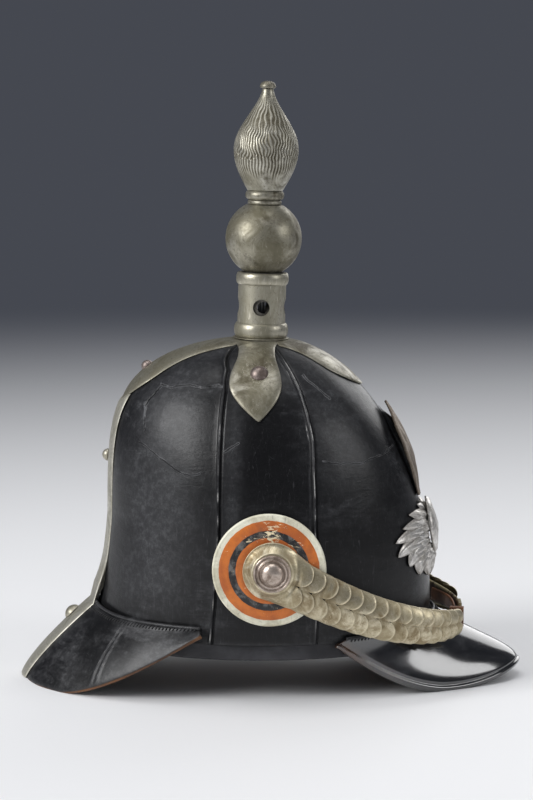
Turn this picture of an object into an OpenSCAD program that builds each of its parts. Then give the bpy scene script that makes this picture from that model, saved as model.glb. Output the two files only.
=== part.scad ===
// Spiked helmet of lacquered leather, with a ball-and-flame finial on a vented tube, a leaf-armed cross,
// a back spine, a flame-rayed front plate, two cockades and a pair of chin scales joined by a small buckle.
// It stands on its neck guard and its visor: +X is its front, +Z is up, z = 0 is the floor, -Y is its right.

/* [Skull] */
// Reach of the skull in front of the finial axis
skull_front = 115.5; // [108:0.5:122]
// Reach of the skull behind the finial axis
skull_back = 102.5; // [96:0.5:108]
// Half of the skull's width
skull_half_w = 88; // [82:0.5:94]
// Height of the crown above the floor
crown_z = 232.5; // [222:0.5:245]
// Height where the walls begin to round over
shoulder_z = 60; // [56:0.5:66]
// Height of the lower rim above the floor
rim_z = 38; // [34:0.5:40]
// How far the back flares out at the rim
back_flare = 10.6; // [4:0.2:12]
// Thickness of the skull leather
leather_t = 3; // [2.4:0.2:3.6]

/* [Visor] */
// Where the visor leaves the skull's sides, ahead of the finial axis
visor_root = 52; // [46:0.5:58]
// Length of the visor from there to its tip
visor_len = 125.3; // [118:0.5:132]
// Half of the visor's width at its root
visor_half_w = 83; // [82:0.5:85]
// Height of the visor's tip above the floor
visor_tip_z = 11; // [6:0.5:16]
// Height of the visor's seam at the front
visor_seam_z = 47; // [44:0.5:50]
// Thickness of the visor leather
visor_t = 3; // [2.4:0.2:3.6]
// How far the rolled rim stands proud
visor_bead = 1; // [0.4:0.1:1.6]

/* [Neck guard] */
// Where the guard leaves the skull's sides, behind the finial axis
guard_root = 35; // [30:0.5:40]
// Length of the guard from there to its back edge
guard_len = 127.8; // [120:0.2:134]
// Half of the guard's width
guard_half_w = 92.5; // [92:0.5:96]
// Height of the guard's seam
guard_seam_z = 49; // [46:0.5:52]
// Thickness of the guard leather
guard_t = 3.2; // [2.6:0.2:3.8]

/* [Finial] */
// Forward lean of the finial, in degrees
finial_lean = 1.65; // [0:0.05:2]
// Radius of the vent tube
tube_r = 16.2; // [15:0.1:17.4]
// Wall of the vent tube
tube_wall = 1.5; // [1.2:0.1:1.8]
// Height of the plain part of the vent tube
tube_h = 25.9; // [20:0.1:32]
// Height of the lower bead
low_bead_h = 10; // [7:0.1:12]
// Height of the upper bead
top_bead_h = 8.1; // [6:0.1:10]
// How far the beads stand out from the tube
bead_out = 1.9; // [1:0.1:2.6]
// Radius of the vent holes in the tube
vent_r = 5.6; // [4.6:0.1:6.4]
// Radius of the vent holes in the inner sleeve
sleeve_vent_r = 4; // [3:0.1:4.8]
// Number of vent holes
vent_count = 4; // [2:1:4]
// Radius of the ball
ball_r = 25.8; // [24:0.1:28]
// Radius of the flats where the ball is cut
ball_flat_r = 12.3; // [11:0.1:13.5]
// Radius of the double-beaded collar
collar_r = 13.1; // [12:0.1:14]
// Height of the collar
collar_h = 9.7; // [8:0.1:12]
// Largest radius of the flame
flame_r = 21.9; // [19:0.1:25]
// Height of the flame
flame_h = 68; // [58:0.5:78]
// Radius of the flame's tip
flame_tip_r = 3.9; // [3.7:0.1:4.6]
// Radius of the cap
cap_r = 5.4; // [5:0.1:7]
// Height of the cap
cap_h = 5; // [4:0.1:7]
// Radius of the centre rod
rod_r = 2.5; // [2.2:0.1:2.8]
// Sheet thickness of the hollow finial pieces
sheet_t = 1.2; // [0.9:0.1:1.5]

/* [Cross and spine] */
// Thickness of the arms
arm_t = 1.2; // [0.9:0.1:1.5]
// Radius of the cross's middle disc
disc_r = 19; // [18.6:0.1:20.5]
// Widest half-width of the side arms
arm_half_w = 17.4; // [14:0.1:20]
// Half-width of the side arms at the neck
arm_neck = 12.3; // [9:0.1:13.5]
// Widest half-width of the front and rear arms
broad_half_w = 28.5; // [25:0.5:30]
// Height of the side arms' tips
side_tip_z = 185; // [178:0.5:192]
// Height of the front arm's tip
front_tip_z = 201; // [197:0.5:206]
// Height of the rear arm's tip
rear_tip_z = 189.5; // [186:0.5:194]
// Half-width of the spine
spine_half_w = 18; // [15:0.5:20]
// Thickness of the spine at its middle
spine_t = 2.3; // [1.6:0.1:3]
// Radius of the domed studs on the arms
stud_r = 6; // [4.5:0.1:7]
// Height of the studs' domes
stud_h = 4; // [3:0.1:5]
// Radius of the studs' threaded shanks
shank_r = 1.8; // [1.4:0.1:2.2]

/* [Cockade and boss] */
// Where the chin scales pivot, ahead of the finial axis
pivot_fore = 9.4; // [6:0.1:12]
// Height of the pivot
pivot_z = 89.5; // [86:0.5:94]
// How far the cockade's centre lies behind the pivot
cockade_back = 2.2; // [0:0.1:3]
// Radius of the cockade
cockade_r = 37.4; // [33:0.1:39]
// Thickness of the cockade
cockade_t = 1.2; // [0.9:0.1:1.5]
// Radius of the boss
boss_r = 12.3; // [10.5:0.1:14]
// Radius of the boss's middle dome
dome_r = 6.8; // [5.5:0.1:8]
// Radius of the boss's shank, on which the chin scales turn
boss_shank_r = 3.5; // [3:0.1:4]

/* [Chin scales] */
// Forward reach of the strap from its pivot
strap_reach = 128.6; // [124:0.2:134]
// How far the buckle hangs above the visor
buckle_clear = 0.6; // [0.5:0.1:3]
// Half-width of the scales at the boss
scale_half_w = 16.8; // [15:0.1:18]
// Half-width of the chin scales' line at the middle of the front
front_half_w = 6.2; // [5.6:0.1:7]
// Number of scales on each side
scale_count = 14; // [10:1:15]
// Distance from one scale to the next
scale_pitch = 9.4; // [9.2:0.1:9.8]
// Length of one scale
scale_len = 14.5; // [13:0.1:15]
// Sheet thickness of the scales
scale_t = 0.8; // [0.6:0.1:0.9]
// Thickness of the leather strap
strap_t = 2; // [1.6:0.1:2.2]
// Radius of the rosette plate round the boss
rosette_r = 19.5; // [18:0.1:19.8]

/* [Front plate] */
// Height of the star's centre
star_z = 97; // [94:0.5:99]
// Half of the star's height
star_half_h = 28; // [25:0.5:28.5]
// Half of the star's width, along the skull
star_half_w = 57; // [50:0.5:60]
// Number of flame rays
ray_count = 24; // [16:2:30]
// Height of the crest's top
crest_top_z = 186.5; // [180:0.5:190]
// Height of the crest's foot
crest_foot_z = 126.5; // [126:0.5:130]
// Widest half-width of the crest
crest_half_w = 22; // [16:0.5:26]
// Sheet thickness of the plate
plate_t = 1; // [0.7:0.1:1.2]
// Height of the round disc's centre
disc_z = 104; // [102:0.5:106]
// Radius of the round disc
plate_disc_r = 19.5; // [17:0.1:20.5]
// How far the round disc is domed
disc_dome = 4.6; // [3:0.1:6]

/* [Lining] */
// Height of the sweatband's lower edge
band_low_z = 28; // [22:0.5:32]
// Height of the sweatband
band_h = 32; // [26:0.5:36]
// Thickness of the sweatband
band_t = 1.5; // [1.1:0.1:1.9]
// Number of liner tongues
tongue_count = 10; // [8:1:12]

/* [Hidden] */

$fn = 64;
axis_x = -6.5;               // the finial axis, so that the origin is midway between tip and back edge
gap = 0.3;                   // between pieces whose curved faces lie on each other
fit = 0.05;                  // running clearance round a shaft
flare_top = 115;             // height where the back's flare begins
edge = 0.4;                  // half-width kept at the tip of a leaf

// Shape of the skull

function unit(v) = v / norm(v);
function mix(a, b, t) = a + (b - a) * t;
function rise(z) = (z - shoulder_z) / (crown_z - shoulder_z);
// Share of its full reach that a wall still has at height z
function kept(z, side, top) = pow(max(0, 1 - pow(max(0, rise(z)), top)), 1 / side);
function front_reach(z) = skull_front * kept(z, 2.05, 2.05);
function side_reach(z) = skull_half_w * kept(z, 2.2, 3.3);
function back_reach(z) = skull_back * kept(z, 1.9, 6.6)
    + back_flare * pow(max(0, flare_top - z) / (flare_top - rim_z), 1.3);
// Point of the outer surface at azimuth a (0 is the front, 90 the left side) and height z
function wall(a, z) = let (reach = cos(a) > 0 ? front_reach(z) : back_reach(z))
    [axis_x + reach * cos(a), side_reach(z) * sin(a), z];
function wall_normal(a, z) = let (dz = 0.3 * min(1, crown_z - z))
    unit(cross(wall(a + 1, z) - wall(a - 1, z), wall(a, z) - wall(a, z - dz)));
function skin(a, z, off) = wall(a, z) + off * wall_normal(a, z);
// Heights spaced evenly along the wall, by an angle that is 0 at the shoulder and 90 at the crown
function climb(z) = rise(z) < 0 ? rise(z) * 180 / PI : asin(rise(z));
function height(angle) = shoulder_z + (crown_z - shoulder_z) * (angle < 0 ? angle * PI / 180 : sin(angle));
function spaced(low, high, count) = [for (k = [0:count - 1]) mix(low, high, k / (count - 1))];

// A closed sheet between two grids of points, [row][column]. With ring, the columns close on themselves
module sheet(outer, inner, ring = false) {
    rows = len(outer);
    cols = len(outer[0]);
    loop = 2 * rows;
    points = [for (c = [0:cols - 1], k = [0:loop - 1])
        k < rows ? outer[k][c] : inner[loop - 1 - k][c]];
    sides = [for (c = [0:(ring ? cols - 1 : cols - 2)], k = [0:loop - 1])
        let (d = ((c + 1) % cols) * loop, b = c * loop, m = (k + 1) % loop)
        each [[b + k, b + m, d + m], [b + k, d + m, d + k]]];
    last = (cols - 1) * loop;
    ends = ring ? [] : [for (r = [0:rows - 2]) let (s = loop - 1 - r)
        each [[r + 1, r, s], [r + 1, s, s - 1],
              [last + r, last + r + 1, last + s], [last + s, last + r + 1, last + s - 1]]];
    r = floor(rows / 2);
    c = floor(cols / 2);
    across = cross(outer[r][c] - outer[r - 1][c], outer[r][c] - outer[r][c - 1]);
    turned = across * (outer[r][c] - inner[r][c]);
    faces = concat(sides, ends);
    polyhedron(points, turned > 0 ? [for (f = faces) [f[2], f[1], f[0]]] : faces, convexity = 6);
}

// Its children stand on the skull, with +Z along the outward normal
module at_wall(a, z) {
    n = wall_normal(a, z);
    translate(wall(a, z)) rotate([0, acos(n[2]), atan2(n[1], n[0])]) children();
}

// Its children stand on the finial axis, measured from the crown
module leaning() {
    translate([axis_x, 0, crown_z]) rotate([0, finial_lean, 0]) children();
}

// Its children stand on the right side's pivot, with +Z pointing out along -Y
pivot_x = axis_x + pivot_fore;
module beside() {
    translate([pivot_x, 0, pivot_z]) rotate([90, 0, 0]) children();
}
module left() {
    mirror([0, 1, 0]) children();
}

// Skull

skull_cols = 56;
crown_ring = 86.5;           // angle of the skull's last ring under the crown
skull_angles = spaced(climb(rim_z), crown_ring, 17);
side_arm_angles = [90, 270];
stud_side_z = mix(side_tip_z, crown_z, 0.6);
stud_rear_z = mix(rear_tip_z, crown_z, 0.52);
spine_stud_z = 152;
post_a = 17;
post_z = star_z - 0.1 * star_half_h;
stud_hole_r = shank_r + gap;

module stud_places() {
    for (a = side_arm_angles) at_wall(a, stud_side_z) children();
    at_wall(180, stud_rear_z) children();
    at_wall(180, spine_stud_z) children();
}
module post_places() {
    for (side = [-1, 1]) at_wall(side * post_a, post_z) children();
}
module stud_hole() {
    cylinder(r = stud_hole_r, h = 16, center = true, $fn = 24);
}

module skull() {
    turns = [for (c = [0:skull_cols - 1]) c * 360 / skull_cols];
    color([0.13, 0.13, 0.14]) difference() {
        sheet([for (s = skull_angles) [for (a = turns) wall(a, height(s))]],
              [for (s = skull_angles) [for (a = turns) skin(a, height(s), -leather_t)]], ring = true);
        stud_places() stud_hole();
        post_places() stud_hole();
        translate([pivot_x, 0, pivot_z]) rotate([90, 0, 0])
            cylinder(r = boss_shank_r + gap, h = 3 * skull_half_w, center = true, $fn = 32);
    }
}

// Visor and neck guard

guard_corner_a = acos(guard_root / back_reach(guard_seam_z));
visor_corner_a = acos(visor_root / front_reach(visor_seam_z - 6));
guard_first = 1.5;           // where the guard's outline starts, in degrees from its corner
guard_rows = [0, 0.08, 0.2, 0.35, 0.5, 0.65, 0.8, 0.92, 1];
guard_turns = [for (k = [0:32]) mix(guard_first, 180 - guard_first, k / 32)];
visor_sink = 0.5;            // how far the visor's lowest edge is worn flat
visor_rows = [0, 0.08, 0.2, 0.35, 0.5, 0.65, 0.78, 0.88, 0.93, 0.96, 1];
visor_turns = [for (k = [-14:14]) k * 86 / 14];

function guard_seam(turn) = [180 + guard_corner_a * (1 - turn / 90), guard_seam_z + 4 * pow(sin(turn), 6)];
function guard_edge(turn) = [axis_x - guard_root - guard_len * sin(turn), -guard_half_w * cos(turn),
    guard_seam_z * pow(max(0, 1 - sin(turn) / 0.77), 1.35)];
// Point of the guard's upper face: turn goes from the right corner (0) to the back (90), t from seam to edge
function guard_at(turn, t) = let (s = guard_seam(turn), p = skin(s[0], s[1], gap + guard_t),
    e = guard_edge(turn), f = 1 - pow(1 - t, 1.25))
    [mix(p[0], e[0], f), mix(p[1], e[1], f), mix(p[2], e[2], t)];
function guard_normal(turn, t) = let (d = t > 0.5 ? -0.02 : 0.02)
    unit(cross(guard_at(turn + 1, t) - guard_at(turn - 1, t),
        (guard_at(turn, t + d) - guard_at(turn, t)) * sign(d)));
function guard_under(turn, t) = let (s = guard_seam(turn))
    t == 0 ? skin(s[0], s[1], gap) : guard_at(turn, t) - guard_t * guard_normal(turn, t);

function visor_seam(turn) = [visor_corner_a * turn / 90, visor_seam_z - 6 * pow(sin(turn), 2)];
function visor_edge(turn) = let (q = pow(max(0, cos(turn)), 2.35))
    [axis_x + visor_root + visor_len * q, visor_half_w * sin(turn),
     rim_z * pow(max(0, 1 - q / 0.6), 1.7) + visor_tip_z * pow(max(0, (q - 0.62) / 0.38), 2) - visor_sink];
// Point of the visor's upper face: turn goes from the right corner (-90) to the tip (0), t from seam to edge
function visor_at(turn, t) = let (s = visor_seam(turn), p = skin(s[0], s[1], gap + visor_t),
    e = visor_edge(turn), f = t + 0.13 * sin(180 * pow(t, 2.2)))
    [mix(p[0], e[0], f), mix(p[1], e[1], f), mix(p[2], e[2], t)];
function visor_normal(turn, t) = let (d = t > 0.5 ? -0.02 : 0.02)
    unit(cross(visor_at(turn + 1, t) - visor_at(turn - 1, t),
        (visor_at(turn, t) - visor_at(turn, t + d)) * sign(d)));
function visor_under(turn, t) = let (s = visor_seam(turn))
    t == 0 ? skin(s[0], s[1], gap) : visor_at(turn, t) - visor_t * visor_normal(turn, t);
function visor_top(turn, t) = visor_at(turn, t) + (t > 0.95 ? visor_bead : 0) * visor_normal(turn, t);

// Height of the visor's upper face on its middle line, by the distance ahead
visor_line = [for (k = [0:50]) let (p = visor_at(0, k / 50)) [p[0], p[2]]];

floor_cut = 20;
module below_floor() {
    reach = 2 * (guard_root + guard_len);
    translate([-reach, -reach, -floor_cut]) cube([2 * reach, 2 * reach, floor_cut]);
}
module front_visor() {
    color([0.1, 0.1, 0.11]) difference() {
        sheet([for (t = visor_rows) [for (turn = visor_turns) visor_top(turn, t)]],
              [for (t = visor_rows) [for (turn = visor_turns) visor_under(turn, t)]]);
        below_floor();
    }
}
module neck_guard() {
    color([0.15, 0.14, 0.14]) difference() {
        sheet([for (t = guard_rows) [for (turn = guard_turns) guard_at(turn, t)]],
              [for (t = guard_rows) [for (turn = guard_turns) guard_under(turn, t)]]);
        below_floor();
        spine_tail_place() stud_hole();
    }
}

// Cross mount with its four leaf arms

// Half-width of a leaf arm at the share t of its length: a straight neck, a wide waist and a pointed tip
function leaf(t, neck, wide, blunt) = t < 0.25 ? neck
    : t < 0.66 ? mix(neck, wide, 0.5 - 0.5 * cos(180 * (t - 0.25) / 0.41))
    : edge + (wide - edge) * pow(cos(90 * (t - 0.66) / 0.34), blunt);
// Azimuth at the distance side, along the wall, from the azimuth a
function beside_a(a, z, side) = a + 2 * side / norm(wall(a + 1, z) - wall(a - 1, z));

arm_rows = 17;
arm_cols = 11;
module arm(a, start_angle, tip_z, neck, wide, blunt = 0.9) {
    angles = spaced(start_angle, climb(tip_z), arm_rows);
    function arm_at(r, c, off) = let (z = height(angles[r]),
        w = min(side_reach(z), leaf(r / (arm_rows - 1), neck, wide, blunt)) * (2 * c / (arm_cols - 1) - 1))
        skin(beside_a(a, z, w), z, off);
    sheet([for (r = [0:arm_rows - 1]) [for (c = [0:arm_cols - 1]) arm_at(r, c, gap + arm_t)]],
          [for (r = [0:arm_rows - 1]) [for (c = [0:arm_cols - 1]) arm_at(r, c, gap)]]);
}
broad_first = 84;            // angle where the broad arms leave the middle disc
broad_neck = broad_half_w - 3;
broad_tip = 0.65;            // how blunt the broad arms' tips are: 1 is pointed
disc_base = 0.1;             // underside of the middle disc above the crown
disc_t = 0.8;
module cross_mount() {
    color([0.42, 0.42, 0.38]) difference() {
        union() {
            leaning() translate([0, 0, disc_base]) cylinder(r = disc_r, h = disc_t);
            arm(0, broad_first, front_tip_z, broad_neck, broad_half_w, broad_tip);
            arm(90, 83, side_tip_z, arm_neck, arm_half_w);
            arm(270, 83, side_tip_z, arm_neck, arm_half_w);
            arm(180, broad_first, rear_tip_z, broad_neck, broad_half_w, broad_tip);
        }
        leaning() cylinder(r = rod_r + gap, h = 20, center = true, $fn = 32);
        stud_places() stud_hole();
    }
}

// Domed studs, each with a threaded shank and a nut behind the leather

module stud(seat, r, depth) {
    dome = (r * r + stud_h * stud_h) / (2 * stud_h);
    translate([0, 0, seat]) intersection() {
        translate([0, 0, stud_h - dome]) sphere(r = dome);
        cylinder(r = r, h = stud_h);
    }
    translate([0, 0, seat - depth]) cylinder(r = shank_r, h = depth, $fn = 24);
}
arm_seat = 2 * gap + arm_t;
spine_seat = 2 * gap + spine_t;
nut_t = 2.5;
module arm_studs() {
    depth = arm_seat + leather_t + nut_t + 1;
    color([0.55, 0.5, 0.46]) {
        for (a = side_arm_angles) at_wall(a, stud_side_z) stud(arm_seat, stud_r, depth);
        at_wall(180, stud_rear_z) stud(arm_seat, stud_r * 0.7, depth);
    }
}

// Back spine, which runs down the skull, over the guard's seam and hooks over the guard's edge

tail_t = 0.24;               // share of the guard's width where the lower stud sits
module spine_tail_place() {
    n = guard_normal(90, tail_t);
    translate(guard_at(90, tail_t)) rotate([0, -acos(n[2]), 0]) children();
}
spine_cols = 9;
spine_bend_z = guard_seam_z + 15;
spine_shares = [0.03, 0.1, 0.2, 0.3, 0.4, 0.5, 0.6, 0.7, 0.8, 0.9, 0.96, 1];
function spine_side(c) = spine_half_w * (2 * c / (spine_cols - 1) - 1);
// Height of the spine's top at the column c: it stays 1.5 below the edge of the rear arm's leaf
function spine_top(c) = let (share = (max(edge, abs(spine_side(c))) - edge) / (broad_half_w - edge),
    t = 0.66 + 0.34 * acos(pow(share, 1 / broad_tip)) / 90)
    height(mix(broad_first, climb(rear_tip_z), t)) - 1.5;
function spine_z(c, k) = mix(spine_top(c), spine_bend_z, k / spine_rows);
spine_rows = 20;
// Bulge of the spine's outer face across its width
function spine_lift(c) = gap + spine_t * (1 - 0.62 * pow(spine_side(c) / spine_half_w, 2));
function spine_a(c, z) = 180 - asin(spine_side(c) / side_reach(z));
spine_spread = [1.55, 1.22]; // widening of the spine over the guard, at the seam and at the guard's edge
// Turn of the guard at the spine's column c
function spine_turn(c, t) = 90 + spine_side(c) / norm(guard_edge(0)) * 180 / PI
    * mix(spine_spread[0], spine_spread[1], t);
// Extra height over the skull where the spine climbs onto the guard
function spine_climb(z) = (gap + guard_t) * pow(max(0, 1 - (z - spine_bend_z) / 14), 2);
function spine_on_skull(c, z, off) = skin(spine_a(c, z), z, off + spine_climb(z));
function spine_on_guard(c, t, off) = let (turn = spine_turn(c, t))
    guard_at(turn, t) + off * guard_normal(turn, t);
module back_spine() {
    cols = [0:spine_cols - 1];
    color([0.45, 0.44, 0.39]) difference() {
        sheet(concat([for (k = [0:spine_rows])
                          [for (c = cols) spine_on_skull(c, spine_z(c, k), spine_lift(c))]],
                     [for (t = spine_shares) [for (c = cols) spine_on_guard(c, t, spine_lift(c))]]),
              concat([for (k = [0:spine_rows]) [for (c = cols) spine_on_skull(c, spine_z(c, k), gap)]],
                     [for (t = spine_shares) [for (c = cols) spine_on_guard(c, t, gap)]]));
        at_wall(180, spine_stud_z) stud_hole();
        spine_tail_place() stud_hole();
        below_floor();
    }
}
module spine_studs() {
    color([0.5, 0.47, 0.42]) {
        at_wall(180, spine_stud_z) stud(spine_seat, stud_r * 0.7, spine_seat + leather_t + nut_t + 1);
        spine_tail_place() stud(spine_seat, stud_r, spine_seat + guard_t + nut_t + 1);
    }
}
module small_nut() {
    difference() {
        cylinder(r = 2.2 * shank_r, h = nut_t, $fn = 6);
        translate([0, 0, -1]) cylinder(r = shank_r + fit, h = nut_t + 2, $fn = 24);
    }
}
module stud_nuts() {
    color([0.5, 0.5, 0.48]) {
        stud_places() translate([0, 0, -leather_t - 2 * gap - nut_t]) small_nut();
        spine_tail_place() translate([0, 0, -guard_t - gap - nut_t]) small_nut();
    }
}

// Finial, measured from the crown along its leaning axis

tube_base = disc_base + disc_t;
bead_top = tube_base + low_bead_h + tube_h + top_bead_h;
ball_base = bead_top + gap;
ball_half = sqrt(ball_r * ball_r - ball_flat_r * ball_flat_r);
collar_base = ball_base + 2 * ball_half;
flame_base = collar_base + collar_h;
cap_base = flame_base + flame_h + gap;
vent_z = tube_base + low_bead_h + tube_h * 0.43;

// Outline of a half-round bead on a wall of radius r, from height low to height high
function bead(r, out, low, high) = [for (k = [0:8]) let (s = cos(180 - 22.5 * k))
    [r + out * sqrt(max(0, 1 - s * s)), mix(low, high, (s + 1) / 2)]];
// A hollow turned shape: its outline from bottom to top, a sheet inside it and a bore through both ends
function hollow(outline, bore) = let (low = outline[0][1], high = outline[len(outline) - 1][1])
    concat([[bore, low]], outline, [[bore, high], [bore, high - sheet_t]],
           [for (k = [len(outline) - 2:-1:1]) let (p = outline[k])
            if (p[1] > low + sheet_t + 0.2 && p[1] < high - sheet_t - 0.2 && p[0] - sheet_t > bore + 0.2)
            [p[0] - sheet_t, p[1]]],
           [[bore, low + sheet_t]]);

module vent_tube() {
    wall_low = tube_base + low_bead_h;
    bore = tube_r - tube_wall;
    color([0.46, 0.45, 0.42]) leaning() difference() {
        rotate_extrude() polygon(concat([[bore, tube_base]],
            bead(tube_r, bead_out + 0.2, tube_base, wall_low),
            bead(tube_r, bead_out - 0.3, wall_low + tube_h, bead_top), [[bore, bead_top]]));
        vents(vent_r, 0);
    }
}
// Round vent holes of radius r, turned by shift degrees; the first looks to the right
module vents(r, shift) {
    for (k = [0:vent_count - 1]) translate([0, 0, vent_z]) rotate([0, 0, 360 * k / vent_count - 90 + shift])
        rotate([0, 90, 0]) cylinder(r = r, h = 2 * tube_r);
}
sleeve_r = tube_r - tube_wall - gap;
sleeve_shift = 5.4;          // turn of the sleeve's holes from the tube's at rest, in degrees
module vent_sleeve() {
    color([0.3, 0.29, 0.27]) leaning() difference() {
        translate([0, 0, tube_base + gap]) cylinder(r = sleeve_r, h = ball_base - tube_base - gap);
        translate([0, 0, tube_base]) cylinder(r = sleeve_r - sheet_t, h = ball_base);
        vents(sleeve_vent_r, sleeve_shift);
    }
}
module finial_ball() {
    flat_a = acos(ball_flat_r / ball_r);
    outline = [for (k = [0:24]) let (a = mix(-flat_a, flat_a, k / 24))
        [ball_r * cos(a), ball_base + ball_half + ball_r * sin(a)]];
    color([0.48, 0.47, 0.43]) leaning() rotate_extrude() polygon(hollow(outline, rod_r + fit));
}
module finial_collar() {
    lower = collar_base + 0.35 * collar_h;
    color([0.42, 0.41, 0.38]) leaning() rotate_extrude() polygon(concat([[rod_r + fit, collar_base]],
        bead(collar_r - 3.2, 1.6, collar_base, lower), bead(collar_r - 2.4, 2.4, lower, flame_base),
        [[rod_r + fit, flame_base]]));
}
// Radius of the flame at the share t of its height
function flame_at(t) = t < 0.4 ? mix(collar_r - 1.1, flame_r, sin(90 * t / 0.4))
    : mix(flame_tip_r, flame_r, pow(max(0, cos(90 * (t - 0.4) / 0.6)), 1.6));
module finial_flame() {
    outline = [for (k = [0:28]) [flame_at(k / 28), flame_base + flame_h * k / 28]];
    color([0.5, 0.49, 0.45]) leaning() rotate_extrude() polygon(hollow(outline, rod_r + fit));
}
module finial_cap() {
    color([0.45, 0.44, 0.4]) leaning() difference() {
        translate([0, 0, cap_base]) intersection() {
            cylinder(r = cap_r, h = cap_h);
            translate([0, 0, cap_h - cap_r * 1.25]) sphere(r = cap_r * 1.25);
        }
        translate([0, 0, cap_base - 1]) cylinder(r = rod_r + fit, h = 3, $fn = 32);
    }
}
washer_r = 14;
washer_t = 1.5;
washer_top = -5.3;           // the washer's upper face lies under the crown's inner side
rod_nut_t = 5;
module finial_rod() {
    low = washer_top - washer_t - rod_nut_t - 4;
    length = cap_base + 2 - low;
    color([0.55, 0.55, 0.52]) leaning() translate([0, 0, low]) cylinder(r = rod_r, h = length, $fn = 32);
}
module rod_washer() {
    color([0.5, 0.5, 0.48]) leaning() translate([0, 0, washer_top - washer_t]) difference() {
        cylinder(r = washer_r, h = washer_t);
        translate([0, 0, -1]) cylinder(r = rod_r + fit, h = washer_t + 2, $fn = 32);
    }
}
module rod_nut() {
    color([0.5, 0.5, 0.48]) leaning() translate([0, 0, washer_top - washer_t - rod_nut_t]) difference() {
        cylinder(r = 2 * rod_r + 1, h = rod_nut_t, $fn = 6);
        translate([0, 0, -1]) cylinder(r = rod_r + fit, h = rod_nut_t + 2, $fn = 32);
    }
}

// Front plate: a star of flame rays, a crest above it and a domed round disc on both

star_cols = 4 * ray_count;
star_inner = 12;
star_rings = [0, 0.35, 0.7, 1];
// Reach of the star at the angle a, as a share of its half-width and half-height
function ray(a) = 0.76 + 0.24 * pow(abs(cos(a * ray_count / 2)), 1.3);
// Point of the star at the ring r (0 is the inner edge, 1 the rays' tips) and column c, raised by off
function star_at(r, c, off) = let (a = 360 * c / star_cols, w = mix(1, ray(a), r),
    u = mix(star_inner, star_half_w, r) * cos(a) * w, v = mix(star_inner, star_half_h, r) * sin(a) * w)
    skin(beside_a(0, star_z + v, u), star_z + v, off);
function star_lift(r) = 2 * gap + plate_t + 1.6 * (1 - r) * r;
module plate_star() {
    cols = [0:star_cols - 1];
    color([0.6, 0.6, 0.57]) difference() {
        sheet([for (r = star_rings) [for (c = cols) star_at(r, c, star_lift(r))]],
              [for (r = star_rings) [for (c = cols) star_at(r, c, star_lift(r) - plate_t)]], ring = true);
        post_places() stud_hole();
    }
}
crest_cols = 7;
crest_shares = spaced(0, 1, 11);
// Half-width of the crest at the share t of its height: a narrow foot, a wide middle and a peaked top
function crest_side(t) = t < 0.55 ? mix(0.6 * crest_half_w, crest_half_w, sin(90 * t / 0.55))
    : edge + (crest_half_w - edge) * pow(cos(90 * (t - 0.55) / 0.45), 0.8);
// Bulge of the crest, highest along its middle and above its foot
function crest_bulge(t, s) = mix(0.8, 5.4, pow(sin(90 * min(1, t / 0.6)), 1.5)) * (1 - 0.55 * s * s);
function crest_at(t, c, off) = let (z = mix(crest_foot_z, crest_top_z, t), s = 2 * c / (crest_cols - 1) - 1)
    skin(beside_a(0, z, s * crest_side(t)), z, off + crest_bulge(t, s));
module plate_crest() {
    color([0.5, 0.46, 0.4])
        sheet([for (t = crest_shares) [for (c = [0:crest_cols - 1]) crest_at(t, c, plate_t + gap)]],
              [for (t = crest_shares) [for (c = [0:crest_cols - 1]) crest_at(t, c, gap)]]);
}
disc_seat = 2.2;
module plate_disc() {
    under_r = plate_disc_r - 1.4;
    outline = [for (k = [0:10]) [plate_disc_r * (1 - k / 10), disc_dome * sqrt(k / 10) + plate_t]];
    under = [for (k = [10:-1:0]) [under_r * (1 - k / 10), disc_dome * sqrt(k / 10)]];
    color([0.52, 0.5, 0.46]) at_wall(0, disc_z) translate([0, 0, disc_seat])
        rotate_extrude() polygon(concat([[plate_disc_r, 0]], outline, under));
}
post_seat = 2 * plate_t + 1; // height of the posts' heads above the leather
module plate_posts() {
    depth = leather_t + nut_t + 2;
    color([0.55, 0.55, 0.5]) post_places() {
        translate([0, 0, -depth]) cylinder(r = shank_r, h = depth + post_seat, $fn = 24);
        translate([0, 0, post_seat]) cylinder(r = 2 * shank_r, h = 1.2, $fn = 24);
    }
}
module plate_nuts() {
    color([0.5, 0.5, 0.48]) post_places() translate([0, 0, -leather_t - 2 * gap - nut_t]) small_nut();
}

// Cockade and boss, measured out from the mid-plane along the pivot

cockade_seat = skull_half_w + 0.4;
cockade_dome = 2.8;
strap_in = cockade_seat + cockade_t + cockade_dome + 2 * gap;
strap_out = strap_in + strap_t;
strap_side = strap_out + gap;
rosette_t = 1.2;
rosette_rise = 5;
rosette_top = strap_side + rosette_rise + rosette_t;
boss_seat = rosette_top + gap;
boss_nut_t = 3;
boss_nut_w = 12;
// Distance from the mid-plane to the leather's inner face, at the front edge of the boss's nut
boss_wall = side_reach(pivot_z) * sqrt(1 - pow((pivot_fore + boss_nut_w / 2) / front_reach(pivot_z), 2));
boss_inner = boss_wall - leather_t - 2 * gap;

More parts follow.
